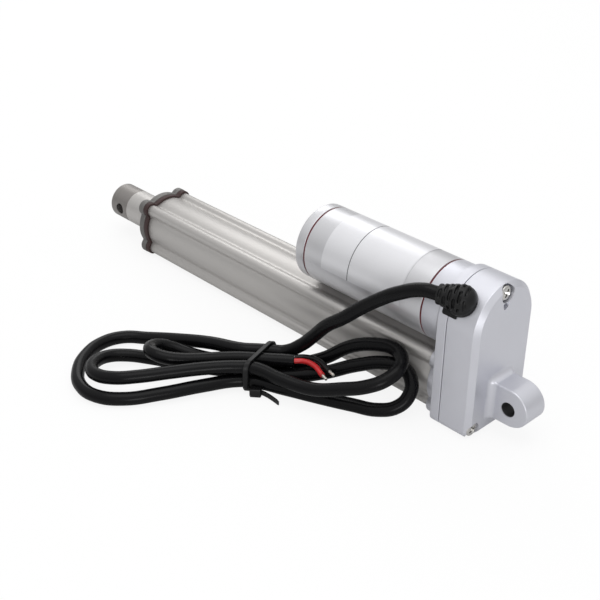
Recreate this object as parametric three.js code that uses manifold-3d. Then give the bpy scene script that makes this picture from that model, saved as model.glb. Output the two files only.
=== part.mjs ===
// Linear actuator: a brushed motor drives a lead screw through two gear pairs, and the screw
// pushes a hollow rod out of an extruded tube. Millimetres, +Z up, +X along the rod.
// While the pieces are made, the tube's axis is the X axis and X is 0 at the rear lug's hole.
import * as THREE from 'three';
import { mergeVertices } from 'three/addons/utils/BufferGeometryUtils.js';
import Module from 'manifold-3d';

const wasm = await Module();
wasm.setup();

// Clearances
const seatGap = 0.2;
const runGap = 0.3;
const seam = 0.3;

// Overall sizes
const stroke = 150;
const pinToPin = 280;
const baseDrop = 16.4;
const motorTubeGap = 1.2;

// Gear housing
const housingHalfWidth = 20;
const archRise = 0.75;
const housingCorner = 4;
const housingBevel = 2.4;
const housingWall = 1.8;
const housingFloor = 1.4;
const rearFaceX = 10.2;
const rearWall = 2.4;
const gearboxDepth = 14.1;
const flangeThickness = 5;
const housingScrewRadius = 1.5;
const housingScrewHeadRadius = 3.1;
const housingScrewHeadHeight = 1.8;
const screwPostWall = 0.7;
const topScrewInset = 5.1;
const lowScrewInset = 4.4;
const screwInset = 4.4;
const topPocketRadius = 4.3;
const lowPocketRadius = 3.5;
const headPocketDepth = 3.8;
const pocketNarrowing = 0.92;

// Rear lug
const lugHalfWidth = 6.6;
const lugRadius = 10;
const lugFillet = 3;
const pinHoleRadius = 3.2;
const lugChamfer = 0.6;

// Extruded tube
const tubeRadius = 15.2;
const boreRadius = 13.3;
const earCentre = 11.6;
const earRadius = 3.2;
const earFillet = 2;
const grooveWidth = 3.4;
const grooveDepth = 1;
const tubeLength = 213;
const skirtLength = 5.2;
const skirtWall = 1.8;

// Front cap
const gasketThickness = 2.8;
const capThickness = 4;
const capOverhang = 1.2;
const capScrewRadius = 1.5;
const capScrewHeadRadius = 2.7;
const capScrewHeadHeight = 2.2;
const capScrewHeadStraight = 0.7;
const capScrewHeadTop = 0.75;
const capScrewLength = 14;
const bushLength = 18;
const wiperLength = 3.2;
const wiperRadius = 12.2;
const wiperProud = 1;

// Rod and lead screw
const rodRadius = 10;
const rodWall = 2;
const rodEndLength = 15.1;
const rodEndSpigot = 11;
const rodEndChamfer = 1.5;
const rodEndEyeSetback = 8.9;
const screwRadius = 5;
const nutLength = 16;
const nutSpigot = 10;
const nutStart = 44;
const keyHeight = 0.6;
const keyRoot = 1;
const screwChamfer = 1;

// Screw bearing
const bearingRadius = 11;
const bearingBore = 4;
const bearingWidth = 7;
const bearingRingWall = 2;
const ballRadius = 1.75;
const ballCount = 7;
const bearingLip = 1.2;

// Gears
const motorTeeth = 10;
const wheelTeeth = 46;
const pinionTeeth = 10;
const screwTeeth = 40;
const idlerOffset = 2.28;
const secondModule = 0.7;
const wheelWidth = 5;
const screwGearWidth = 5.4;
const pressureAngle = THREE.MathUtils.degToRad(20);
const profileShift = 0.5;
const toothThinning = 0.06;
const wheelDetailTeeth = 20;
const dedendum = 1.25;
const wheelAddendum = 1;
const pinionAddendum = 0.85;
const layerGap = 1.4;
const axleRadius = 1.5;
const axleSeat = 2.4;
const screwShaftRadius = 3.4;
const flatDepth = 0.8;

// Motor
const motorRadius = 19;
const canWall = 1.8;
const canLength = 71.4;
const collarLength = 9.4;
const ringWidth = 1.2;
const ringSink = 0.1;
const ringShoulder = 0.5;
const ringFlank = 0.3;
const endCapThickness = 5.6;
const endCapRound = 1.2;
const spigotLength = 4;
const spigotWall = 1.8;
const motorShaftRadius = 2.5;
const pinionShaftRadius = 1.5;
const motorBushRadius = 4;
const motorBushLength = 6;
const motorBushSeatWall = 1.2;
const magnetThickness = 3.2;
const magnetOverhang = 6;
const magnetSpan = THREE.MathUtils.degToRad(140);
const airGap = 0.6;
const armatureSpare = 31.4;
const armatureSlots = 7;
const armatureSlotDepth = 6;
const slotMouthHalfAngle = 0.1;
const slotFloorHalfAngle = 0.08;
const windingLength = 3;
const commutatorRadius = 5;
const commutatorLength = 8;
const brushWidth = 4;
const brushLength = 6;
const brushHolderThickness = 2;
const brushGuideWall = 1.2;

// Limit switches
const stripWidth = 7;
const stripThickness = 0.8;
const stripEndGap = 1;
const stripRadius = 12.6;
const switchLength = 8;
const switchHeight = 1.2;
const switchWidth = 5;

// Strain relief
const bootAngle = THREE.MathUtils.degToRad(40.4);
const bootX = 22.5;
const bootNeckRadius = 4.6;
const bootDomeRadius = 7.4;
const bootDomeHeight = 1.6;
const bootRise = THREE.MathUtils.degToRad(14);
const bootTurn = THREE.MathUtils.degToRad(12);
const bootLength = 10.6;
const bootRibs = 4;
const bootRibRadius = 5.6;
const bootTipRadius = 4.3;
const bootRibDepth = 0.8;
const bootRibStart = 0.55;
const bootRibFoot = 0.35;
const bootRibRise = 0.5;
const bootRibEnd = 0.85;
const bootDomeFlatness = 0.8;
const bootSink = 1;
const bootPadLength = 8;
const bootPadAngle = THREE.MathUtils.degToRad(19);
const bootPadThickness = 1.1;

// Cable
const cableRadius = 3.25;
const cableSides = 8;
const wireRadius = 1.3;
const wireSides = 8;
const wireTipRadius = 0.8;
const wireTipLength = 4;
const wireApart = 1.6;
const redWireReach = 14;
const redWireRise = 1;
const redWireDrift = 12;
const blackWireReach = 17;
const blackWireRise = 2;
const blackWireDrift = 13;
const tubeStepDiameters = 2.5;
const tubeStepLimit = 80;
const jointGap = 0.3;
const jacketReach = 22;
const jacketSteps = 4;
const strandPitch = 7.7;
const tieWidth = 3.6;
const tieThickness = 1.2;
const tieHeadWidth = 5.5;
const tieHeadHeight = 4.4;
const tieHeadOffset = 1.7;
const tieHeadRise = 2.2;
const tieTailLength = 12;
const tieTailWidth = 2.5;
const tieSpot = new THREE.Vector2(112.3, 58.1);
const hankLoopSteps = 28;
const hankSides = 6;

// Sizes that follow from the ones above
const motorHeight = tubeRadius + motorTubeGap + motorRadius;
const archHeight = motorHeight + archRise;
const armatureLength = canLength - armatureSpare;
const magnetLength = armatureLength + magnetOverhang;

// Stations along X worked out from the sizes above
const gearboxX = rearFaceX + rearWall;
const splitX = gearboxX + gearboxDepth;
const flangeX = splitX + seam;
const flangeFrontX = flangeX + flangeThickness;
const tubeX = flangeFrontX + seatGap;
const tubeFrontX = tubeX + tubeLength;
const gasketX = tubeFrontX + seatGap;
const capX = gasketX + gasketThickness + seatGap;
const capFrontX = capX + capThickness;
const eyeX = pinToPin;
const rodTipX = eyeX + rodEndEyeSetback;
const rodEndX = rodTipX - rodEndLength;
const wheelX = gearboxX + layerGap;
const wheelFrontX = wheelX + wheelWidth;
const screwGearX = wheelFrontX + layerGap;
const screwGearFrontX = screwGearX + screwGearWidth;
const collarFrontX = flangeFrontX + collarLength;
const frontRingX = collarFrontX + seatGap;
const canX = frontRingX + ringWidth + seatGap;
const canFrontX = canX + canLength;
const rearRingX = canFrontX + seatGap;
const endCapX = rearRingX + ringWidth + seatGap;
const motorFrontX = endCapX + endCapThickness;
const bearingX = flangeX + seatGap * 2;
const bearingFrontX = bearingX + bearingWidth;

// Gear centres in the Y-Z plane
const secondDistance = secondModule * (pinionTeeth + screwTeeth) / 2;
const idlerY = idlerOffset;
const idlerZ = Math.sqrt(secondDistance ** 2 - idlerOffset ** 2);
const firstDistance = Math.hypot(idlerY, motorHeight - idlerZ);
const firstModule = 2 * firstDistance / (motorTeeth + wheelTeeth);

// Materials
const finish = (color, roughness, metalness) => new THREE.MeshStandardMaterial({ color, roughness, metalness });
const satinAluminium = finish(0xc8c8cc, 0.4, 0.9);
const castAluminium = finish(0xb9b9bd, 0.45, 0.85);
const satinSteel = finish(0xb6b4b0, 0.3, 1);
const darkSteel = finish(0x77746f, 0.4, 1);
const castZinc = finish(0x6b6664, 0.5, 0.7);
const blackRubber = finish(0x1c1c1e, 0.55, 0);
const brownRubber = finish(0x3a2c2a, 0.6, 0);
const redRubber = finish(0x5a1f22, 0.6, 0);
const redPlastic = finish(0xb3222a, 0.45, 0);
const blackPlastic = finish(0x151516, 0.4, 0);
const whitePlastic = finish(0xd8d6ce, 0.5, 0);
const brass = finish(0xb08a4a, 0.4, 1);
const copper = finish(0xb0663c, 0.4, 1);
const tinned = finish(0xc9c6bd, 0.35, 1);
const ferrite = finish(0x2b2b2d, 0.7, 0.1);

const model = new THREE.Group();

function solidOf(geometry) {
  const bare = geometry.clone();
  for (const name of Object.keys(bare.attributes)) {
    if (name !== 'position') bare.deleteAttribute(name);
  }
  const merged = mergeVertices(bare, 1e-4);
  const place = merged.attributes.position;
  const index = merged.index.array;
  const corner = (i) => new THREE.Vector3().fromBufferAttribute(place, i);
  const triangles = [];
  let volume = 0;
  for (let i = 0; i < index.length; i += 3) {
    const [a, b, c] = [index[i], index[i + 1], index[i + 2]];
    if (a === b || b === c || c === a) continue;
    triangles.push(a, b, c);
    volume += corner(a).dot(corner(b).cross(corner(c)));
  }
  if (volume < 0) triangles.reverse();
  return new wasm.Manifold(new wasm.Mesh({
    numProp: 3,
    vertProperties: new Float32Array(place.array),
    triVerts: new Uint32Array(triangles),
  }));
}

function geometryOf(solid) {
  const mesh = solid.getMesh();
  const geometry = new THREE.BufferGeometry();
  geometry.setAttribute('position', new THREE.BufferAttribute(new Float32Array(mesh.vertProperties), 3));
  geometry.setIndex(new THREE.BufferAttribute(new Uint32Array(mesh.triVerts), 1));
  geometry.computeVertexNormals();
  return geometry;
}

function addPiece(name, solid, material) {
  const mesh = new THREE.Mesh(geometryOf(solid), material);
  mesh.name = name;
  model.add(mesh);
  return mesh;
}

const alongX = new THREE.Matrix4().makeBasis(
  new THREE.Vector3(0, 1, 0), new THREE.Vector3(0, 0, 1), new THREE.Vector3(1, 0, 0));
const aroundX = new THREE.Matrix4().makeBasis(
  new THREE.Vector3(0, 0, 1), new THREE.Vector3(1, 0, 0), new THREE.Vector3(0, 1, 0));
const alongY = new THREE.Matrix4().makeBasis(
  new THREE.Vector3(1, 0, 0), new THREE.Vector3(0, 0, 1), new THREE.Vector3(0, -1, 0));

function arc(cx, cy, radius, start, end, steps) {
  const points = [];
  for (let i = 0; i <= steps; i += 1) {
    const angle = start + (end - start) * i / steps;
    points.push(new THREE.Vector2(cx + radius * Math.cos(angle), cy + radius * Math.sin(angle)));
  }
  return points;
}

function circle(cx, cy, radius, steps) {
  return arc(cx, cy, radius, 0, 2 * Math.PI * (1 - 1 / steps), steps - 1);
}

// A profile drawn in Y and Z, drawn out along X
function prismX(points, x0, x1, holes = []) {
  const shape = new THREE.Shape(points);
  for (const hole of holes) shape.holes.push(new THREE.Path(hole));
  const geometry = new THREE.ExtrudeGeometry(shape, { depth: x1 - x0, bevelEnabled: false });
  return solidOf(geometry.applyMatrix4(alongX).translate(x0, 0, 0));
}

// A profile of [x, radius] points turned round an axis along X
function turnedX(profile, y = 0, z = 0, segments = 24) {
  const points = profile.map(([x, r]) => new THREE.Vector2(r, x));
  return solidOf(new THREE.LatheGeometry(points, segments).applyMatrix4(aroundX).translate(0, y, z));
}

function rod(x0, x1, radius, y = 0, z = 0, segments = 20) {
  return turnedX([[x0, 0], [x0, radius], [x1, radius], [x1, 0]], y, z, segments);
}

function ring(x0, x1, inner, outer, y = 0, z = 0, segments = 24) {
  return turnedX([[x0, inner], [x0, outer], [x1, outer], [x1, inner], [x0, inner]], y, z, segments);
}

function block(x0, x1, y0, y1, z0, z1) {
  const geometry = new THREE.BoxGeometry(x1 - x0, y1 - y0, z1 - z0);
  return solidOf(geometry.translate((x0 + x1) / 2, (y0 + y1) / 2, (z0 + z1) / 2));
}

// Rings of like points joined into one closed skin, with a flat cap on each end
function loft(rings, capFaces) {
  const count = rings[0].length;
  const positions = rings.flat().flatMap((point) => [point.x, point.y, point.z]);
  const index = [];
  for (let k = 0; k + 1 < rings.length; k += 1) {
    for (let i = 0; i < count; i += 1) {
      const a = k * count + i;
      const b = k * count + (i + 1) % count;
      index.push(a, b, b + count, a, b + count, a + count);
    }
  }
  const last = (rings.length - 1) * count;
  for (const [a, b, c] of capFaces) {
    index.push(a, c, b);
    index.push(last + a, last + b, last + c);
  }
  const geometry = new THREE.BufferGeometry();
  geometry.setAttribute('position', new THREE.Float32BufferAttribute(positions, 3));
  geometry.setIndex(index);
  return solidOf(geometry);
}

function loftX(sections) {
  const rings = sections.map(({ x, points }) => points.map((point) => new THREE.Vector3(x, point.x, point.y)));
  return loft(rings, THREE.ShapeUtils.triangulateShape(sections[0].points, []));
}

// A round tube round a line of points; the section turns with the line and never twists
function sweptTube(points, radius, sides) {
  const fan = [];
  for (let i = 1; i + 1 < sides; i += 1) fan.push([0, i, i + 1]);
  const tangentAt = (i) => {
    const before = points[Math.max(i - 1, 0)];
    const after = points[Math.min(i + 1, points.length - 1)];
    return after.clone().sub(before).normalize();
  };
  let tangent = tangentAt(0);
  let side = new THREE.Vector3(0, 0, 1).cross(tangent).normalize();
  const rings = points.map((point, i) => {
    const next = tangentAt(i);
    side.applyQuaternion(new THREE.Quaternion().setFromUnitVectors(tangent, next));
    side.addScaledVector(next, -side.dot(next)).normalize();
    tangent = next;
    const up = tangent.clone().cross(side);
    return circle(0, 0, radius, sides).map((spot) => point.clone()
      .addScaledVector(side, spot.x).addScaledVector(up, spot.y));
  });
  return loft(rings, fan);
}

// Gear housing outline: an arch round the motor's axis over a flat base with round corners
function housingOutline(inset, bottomInset = inset) {
  const width = housingHalfWidth - inset;
  const bottom = bottomInset - baseDrop;
  const corner = Math.max(housingCorner - inset, 1);
  return [
    ...arc(0, archHeight, width, 0, Math.PI, 24),
    ...arc(corner - width, bottom + corner, corner, Math.PI, 1.5 * Math.PI, 5),
    ...arc(width - corner, bottom + corner, corner, 1.5 * Math.PI, 2 * Math.PI, 5),
  ];
}

// Tube outline: a round body with four screw ears at 45 degrees, blended with concave fillets
function tubeOutline(offset) {
  const body = tubeRadius + offset;
  const ear = earRadius + offset;
  const fillet = Math.max(earFillet - offset, 0.5);
  const reach = earCentre * Math.SQRT2;
  const across = body + fillet;
  const near = ear + fillet;
  const swing = Math.acos((reach ** 2 + across ** 2 - near ** 2) / (2 * reach * across));
  const tilt = Math.atan2(across * Math.sin(swing), across * Math.cos(swing) - reach);
  const points = [];
  for (let k = 0; k < 4; k += 1) {
    const middle = (k + 0.5) * Math.PI / 2;
    const at = (angle, distance) => [distance * Math.cos(angle), distance * Math.sin(angle)];
    const [ex, ey] = at(middle, reach);
    const [ax, ay] = at(middle - swing, across);
    const [bx, by] = at(middle + swing, across);
    points.push(...arc(ax, ay, fillet, middle - swing + Math.PI, middle - tilt + Math.PI, 3));
    points.push(...arc(ex, ey, ear, middle - tilt, middle + tilt, 8).slice(1, -1));
    points.push(...arc(bx, by, fillet, middle + tilt + Math.PI, middle + swing + Math.PI, 3));
    const start = middle + swing;
    const end = middle + Math.PI / 2 - swing;
    points.push(...arc(0, 0, body, start, end, 5).slice(1, -1));
  }
  return points;
}

function earSpots() {
  const spots = [];
  for (const [sy, sz] of [[1, 1], [-1, 1], [-1, -1], [1, -1]]) spots.push([sy * earCentre, sz * earCentre]);
  return spots;
}

function housingScrewSpots() {
  const side = housingHalfWidth - lowScrewInset;
  const low = screwInset - baseDrop;
  const top = archHeight + housingHalfWidth - topScrewInset;
  return [[0, top, topPocketRadius], [side, low, lowPocketRadius], [-side, low, lowPocketRadius]];
}

// Where the cable enters: outward direction, and places at a radius from the arch's axis
const bootOut = new THREE.Vector3(0, Math.cos(bootAngle), Math.sin(bootAngle));
const bootPlace = (radius) => new THREE.Vector3(bootX, 0, archHeight).addScaledVector(bootOut, radius);

function turnedAlong(profile, origin, direction, segments) {
  const points = profile.map(([distance, r]) => new THREE.Vector2(r, distance));
  const turn = new THREE.Quaternion().setFromUnitVectors(new THREE.Vector3(0, 1, 0), direction);
  const geometry = new THREE.LatheGeometry(points, segments).applyQuaternion(turn);
  return solidOf(geometry.translate(origin.x, origin.y, origin.z));
}

function cableHole() {
  const start = bootPlace(0);
  const end = housingHalfWidth + bootDomeRadius;
  const wide = bootNeckRadius + seatGap;
  return turnedAlong([[motorRadius - housingWall * 2, 0], [motorRadius - housingWall * 2, wide], [end, wide], [end, 0]],
    start, bootOut, 20);
}

// Rear housing: bevelled shell with the gearbox cavity, the lug, screw posts and the axle boss
function rearHousing() {
  let shell = loftX([
    { x: rearFaceX, points: housingOutline(housingBevel) },
    { x: rearFaceX + housingBevel, points: housingOutline(0) },
    { x: splitX, points: housingOutline(0) },
  ]);
  const inside = prismX(housingOutline(housingWall, housingFloor), gearboxX, splitX + seam);
  const outer = shell;
  shell = shell.subtract(inside);
  for (const [y, z, pocket] of housingScrewSpots()) {
    const post = rod(rearFaceX + housingBevel, splitX, pocket + screwPostWall, y, z, 20);
    shell = shell.add(post.intersect(outer));
  }
  shell = shell.add(rod(gearboxX - seatGap, wheelX - runGap, axleRadius * 2, idlerY, idlerZ, 20));
  shell = shell.add(rearLug());
  for (const [y, z, pocket] of housingScrewSpots()) {
    const away = Math.sign(z) * housingHalfWidth;
    const pocketEnd = rearFaceX + headPocketDepth;
    shell = shell.subtract(rod(rearFaceX - seam, splitX + seam, housingScrewRadius + seatGap, y, z, 12));
    shell = shell.subtract(rod(rearFaceX - seam, pocketEnd, pocket, y, z, 20));
    const [z0, z1] = [Math.min(z, z + away), Math.max(z, z + away)];
    const half = pocket * pocketNarrowing;
    if (z < 0) shell = shell.subtract(block(rearFaceX - seam, pocketEnd, y - half, y + half, z0, z1));
  }
  shell = shell.subtract(rod(gearboxX - rearWall / 2, splitX, axleRadius + seatGap, idlerY, idlerZ, 16));
  shell = shell.subtract(cableHole());
  return shell.subtract(pinHole(0, lugHalfWidth));
}

function rearLug() {
  const reach = lugRadius + lugFillet;
  const root = rearFaceX + rearWall / 2;
  const outline = [
    new THREE.Vector2(root, reach),
    ...arc(rearFaceX - lugFillet, reach, lugFillet, 0, -Math.PI / 2, 4),
    ...arc(0, 0, lugRadius, Math.PI / 2, 1.5 * Math.PI, 20),
    ...arc(rearFaceX - lugFillet, -reach, lugFillet, Math.PI / 2, 0, 4),
    new THREE.Vector2(root, -reach),
  ];
  const depth = 2 * (lugHalfWidth - lugChamfer);
  const geometry = new THREE.ExtrudeGeometry(new THREE.Shape(outline), {
    depth,
    bevelSize: lugChamfer,
    bevelThickness: lugChamfer,
    bevelOffset: -lugChamfer,
    bevelSegments: 1,
  });
  const lug = solidOf(geometry.applyMatrix4(alongY).translate(0, depth / 2, 0));
  return lug.subtract(block(gearboxX - seam, root + rearWall, -lugHalfWidth, lugHalfWidth, -reach, reach));
}

function pinHole(x, halfWidth) {
  const geometry = new THREE.CylinderGeometry(pinHoleRadius, pinHoleRadius, 2 * (halfWidth + seam), 24);
  return solidOf(geometry.translate(x, 0, 0));
}

// Front housing: flange, motor collar with its spigot, tube skirt and the screw bearing's seat
function frontHousing() {
  const spigotRadius = motorRadius - canWall - runGap;
  const bushSeat = collarFrontX - motorBushLength / 2;
  const pocketFront = bearingFrontX + seatGap;
  const skirtFront = flangeFrontX + skirtLength;
  let body = prismX(housingOutline(0), flangeX, flangeFrontX);
  body = body.add(prismX(tubeOutline(skirtWall), flangeFrontX, skirtFront));
  body = body.subtract(prismX(tubeOutline(seatGap), flangeFrontX, skirtFront + seam));
  const wide = 2 * housingHalfWidth;
  body = body.subtract(block(flangeFrontX, skirtFront + seam, -wide, wide, -2 * baseDrop, -baseDrop));
  const collar = turnedX([
    [flangeFrontX - seatGap, 0], [flangeFrontX - seatGap, motorRadius], [collarFrontX, motorRadius],
    [collarFrontX, spigotRadius], [collarFrontX + spigotLength, spigotRadius],
    [collarFrontX + spigotLength, spigotRadius - spigotWall], [collarFrontX, spigotRadius - spigotWall],
    [collarFrontX, 0],
  ], 0, motorHeight, 36);
  body = body.add(collar);
  const bearingBoss = rod(flangeFrontX - seatGap, pocketFront + bearingLip, boreRadius - runGap);
  body = body.add(bearingBoss);
  body = body.subtract(rod(flangeX - seam, pocketFront, bearingRadius + seatGap));
  const lipRadius = bearingRadius - bearingRingWall;
  body = body.subtract(rod(pocketFront - seam, pocketFront + bearingLip + seam, lipRadius));
  body = body.subtract(rod(flangeX - seam, collarFrontX + seam, motorShaftRadius + runGap, 0, motorHeight, 20));
  body = body.subtract(rod(bushSeat - seatGap, collarFrontX + seam, motorBushRadius + seatGap, 0, motorHeight, 24));
  body = body.subtract(rod(flangeX - seam, flangeX + axleSeat + seatGap, axleRadius + seatGap, idlerY, idlerZ, 16));
  for (const [y, z] of housingScrewSpots()) {
    body = body.subtract(rod(flangeX - seam, flangeFrontX - seam, housingScrewRadius + seatGap, y, z, 12));
  }
  return body.subtract(cableHole());
}

function housingScrew(y, z) {
  const seat = rearFaceX + headPocketDepth - seatGap;
  const head = rod(seat - housingScrewHeadHeight, seat, housingScrewHeadRadius, y, z, 20);
  return head.add(rod(seat - seam, flangeFrontX - 2 * seam, housingScrewRadius, y, z, 10));
}

// Extruded tube: round bore with two key grooves, and a screw channel in each ear
function outerTube() {
  const key = Math.asin(grooveWidth / 2 / boreRadius);
  const holes = earSpots().map(([y, z]) => circle(y, z, capScrewRadius + runGap, 10).reverse());
  const bore = [];
  for (const turn of [0, Math.PI]) {
    const outer = boreRadius + grooveDepth;
    const wide = Math.asin(grooveWidth / 2 / outer);
    bore.push(...arc(0, 0, outer, turn - wide, turn + wide, 2));
    bore.push(...arc(0, 0, boreRadius, turn + key, turn + Math.PI - key, 16));
  }
  return prismX(tubeOutline(0), tubeX, tubeFrontX, [bore.reverse(), ...holes]);
}

function capPlate(x0, x1, inner) {
  const holes = earSpots().map(([y, z]) => circle(y, z, capScrewRadius + runGap, 10).reverse());
  return prismX(tubeOutline(capOverhang), x0, x1, [circle(0, 0, inner, 32).reverse(), ...holes]);
}

function frontCap() {
  const pocket = capFrontX + wiperProud - wiperLength - seatGap;
  const plate = capPlate(capX, capFrontX, rodRadius + runGap);
  return plate.subtract(rod(pocket, capFrontX + seam, wiperRadius + seatGap, 0, 0, 32));
}

function capScrew(y, z) {
  const seat = capFrontX + seatGap;
  const head = turnedX([
    [seat, 0], [seat, capScrewHeadRadius], [seat + capScrewHeadHeight * capScrewHeadStraight, capScrewHeadRadius],
    [seat + capScrewHeadHeight, capScrewHeadRadius * capScrewHeadTop], [seat + capScrewHeadHeight, 0],
  ], y, z, 16);
  return head.add(rod(seat - capScrewLength, seat + seam, capScrewRadius, y, z, 10));
}

// Half the angle that a tooth covers at a radius, from the involute of its base circle
function toothHalfAngle(teeth, module, shift, radius) {
  const involute = (angle) => Math.tan(angle) - angle;
  const pitch = module * teeth / 2;
  const base = pitch * Math.cos(pressureAngle);
  const thickness = module * (Math.PI / 2 + 2 * shift * Math.tan(pressureAngle)) - toothThinning;
  const atPitch = thickness / (2 * pitch) + involute(pressureAngle);
  const reach = Math.acos(Math.min(base / Math.max(radius, base), 1));
  return atPitch - involute(reach);
}

// Spur gear outline with one tooth centred on the given angle
function gearOutline(teeth, module, shift, tipHeight, y, z, phase) {
  const pitch = module * teeth / 2;
  const tip = pitch + module * (tipHeight + shift);
  const root = pitch - module * (dedendum - shift);
  const base = Math.max(pitch * Math.cos(pressureAngle), root + 0.1 * module);
  const radii = teeth > wheelDetailTeeth ? [root, pitch, tip] : [root, base, (base + tip) / 2, tip];
  const points = [];
  for (let k = 0; k < teeth; k += 1) {
    const middle = phase + 2 * Math.PI * k / teeth;
    const flank = (radius, side) => {
      const angle = middle + side * toothHalfAngle(teeth, module, shift, radius);
      return new THREE.Vector2(y + radius * Math.cos(angle), z + radius * Math.sin(angle));
    };
    for (const radius of radii) points.push(flank(radius, -1));
    for (const radius of [...radii].reverse()) points.push(flank(radius, 1));
  }
  return points;
}

const towardsIdler = Math.atan2(idlerZ - motorHeight, idlerY);
const towardsScrew = Math.atan2(-idlerZ, -idlerY);

function motorPinion() {
  const outline = gearOutline(motorTeeth, firstModule, profileShift, pinionAddendum, 0, motorHeight, towardsIdler);
  const bore = circle(0, motorHeight, pinionShaftRadius + seatGap, 16).reverse();
  return prismX(outline, wheelX - seatGap, wheelFrontX + seatGap, [bore]);
}

// The wheel and the small pinion in front of it are one moulding on the idler axle
function idlerGear() {
  const wheelPhase = towardsIdler + Math.PI + Math.PI / wheelTeeth;
  const at = [idlerY, idlerZ];
  const wheel = gearOutline(wheelTeeth, firstModule, -profileShift, wheelAddendum, ...at, wheelPhase);
  const small = gearOutline(pinionTeeth, secondModule, profileShift, pinionAddendum, ...at, towardsScrew);
  const pinionFront = screwGearFrontX + seatGap;
  const hub = rod(wheelFrontX - seam, screwGearX - runGap, axleRadius * 2, idlerY, idlerZ, 20);
  let gear = prismX(wheel, wheelX, wheelFrontX).add(hub);
  gear = gear.add(prismX(small, wheelFrontX - seam, pinionFront));
  return gear.subtract(rod(wheelX - seam, pinionFront + seam, axleRadius + runGap, idlerY, idlerZ, 16));
}

function idlerAxle() {
  return rod(gearboxX - rearWall / 2 + seatGap, flangeX + axleSeat, axleRadius, idlerY, idlerZ, 16);
}

function dSection(radius, flat) {
  const edge = Math.acos(flat / radius);
  return arc(0, 0, radius, Math.PI / 2 + edge, 2.5 * Math.PI - edge, 20);
}

function screwGear() {
  const phase = towardsScrew + Math.PI + Math.PI / screwTeeth;
  const outline = gearOutline(screwTeeth, secondModule, -profileShift, wheelAddendum, 0, 0, phase);
  const flat = screwShaftRadius - flatDepth + seatGap;
  return prismX(outline, screwGearX, screwGearFrontX, [dSection(screwShaftRadius + seatGap, flat).reverse()]);
}

function leadScrew() {
  const start = screwGearX - layerGap / 2;
  const journal = flangeX;
  const shoulder = bearingFrontX + seatGap;
  const end = nutStart + nutLength + nutSpigot + stroke + screwRadius;
  const shaft = prismX(dSection(screwShaftRadius, screwShaftRadius - flatDepth), start, journal + seam);
  const thread = turnedX([
    [journal, 0], [journal, bearingBore - seatGap], [shoulder, bearingBore - seatGap],
    [shoulder, screwRadius], [end - screwChamfer, screwRadius], [end, screwRadius - screwChamfer], [end, 0],
  ], 0, 0, 24);
  return thread.add(shaft);
}

function bearingRaceway(x, radius, depth) {
  const middle = x + bearingWidth / 2;
  return [[middle - ballRadius, radius], [middle, radius + depth], [middle + ballRadius, radius]];
}

const ballPitch = (bearingRadius + bearingBore) / 2;

function bearingOuterRing() {
  const inner = bearingRadius - bearingRingWall;
  const depth = ballPitch + ballRadius + seatGap * 1.5 - inner;
  return turnedX([
    [bearingX, inner], [bearingX, bearingRadius], [bearingFrontX, bearingRadius], [bearingFrontX, inner],
    ...bearingRaceway(bearingX, inner, depth).reverse(), [bearingX, inner],
  ]);
}

function bearingInnerRing() {
  const outer = bearingBore + bearingRingWall;
  const depth = ballPitch - ballRadius - seatGap * 1.5 - outer;
  return turnedX([
    [bearingX, outer], ...bearingRaceway(bearingX, outer, depth), [bearingFrontX, outer],
    [bearingFrontX, bearingBore], [bearingX, bearingBore], [bearingX, outer],
  ]);
}

// The balls sit in one pressed cage, halfway between the rings
function bearingBallCage() {
  const middle = bearingX + bearingWidth / 2;
  const half = ballRadius / 2;
  let cage = ring(middle - half, middle + half, ballPitch - half, ballPitch + half, 0, 0, 21);
  for (let k = 0; k < ballCount; k += 1) {
    const angle = 2 * Math.PI * k / ballCount;
    const ball = new THREE.SphereGeometry(ballRadius, 8, 6);
    cage = cage.add(solidOf(ball.translate(middle, ballPitch * Math.cos(angle), ballPitch * Math.sin(angle))));
  }
  return cage;
}

// Drive nut: keyed in the tube's grooves, cut away below for the switch strip
function driveNut() {
  const nutFront = nutStart + nutLength;
  const end = nutFront + nutSpigot;
  const body = boreRadius - runGap - seatGap;
  const bore = screwRadius + runGap;
  const spigot = rodRadius - rodWall - seatGap;
  let nut = turnedX([
    [nutStart, bore], [nutStart, body], [nutFront, body], [nutFront, spigot], [end, spigot], [end, bore],
    [nutStart, bore],
  ]);
  for (const side of [-1, 1]) {
    const [y0, y1] = [side * (bore + keyRoot), side * (boreRadius + keyHeight)].sort((a, b) => a - b);
    const halfKey = grooveWidth / 2 - runGap;
    nut = nut.add(block(nutStart, nutFront, y0, y1, -halfKey, halfKey));
  }
  const cut = -(rodRadius + runGap);
  return nut.subtract(block(nutStart - seam, nutFront + seam, -body, body, -2 * body, cut));
}

function innerRod() {
  return ring(nutStart + nutLength + seatGap, rodEndX - seatGap, rodRadius - rodWall, rodRadius, 0, 0, 32);
}

function rodEnd() {
  const spigot = rodRadius - rodWall - seatGap;
  const eye = turnedX([
    [rodEndX - rodEndSpigot, 0], [rodEndX - rodEndSpigot, spigot], [rodEndX, spigot], [rodEndX, rodRadius],
    [rodTipX - rodEndChamfer, rodRadius], [rodTipX, rodRadius - rodEndChamfer], [rodTipX, 0],
  ], 0, 0, 32);
  return eye.subtract(pinHole(eyeX, rodRadius));
}

// Limit switch strip along the bottom of the bore, with a switch at each end of the nut's travel
const stripBottom = -stripRadius;
const stripTop = stripBottom + stripThickness;

function switchStrip() {
  const start = bearingFrontX + bearingLip + 4 * seam;
  const end = tubeFrontX - bushLength - stripEndGap;
  return block(start, end, -stripWidth / 2, stripWidth / 2, stripBottom, stripTop);
}

function limitSwitch(x) {
  const bottom = stripTop + seatGap / 2;
  return block(x, x + switchLength, -switchWidth / 2, switchWidth / 2, bottom, bottom + switchHeight);
}

// Motor
function motorCan() {
  return ring(canX, canFrontX, motorRadius - canWall, motorRadius, 0, motorHeight, 40);
}

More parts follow.
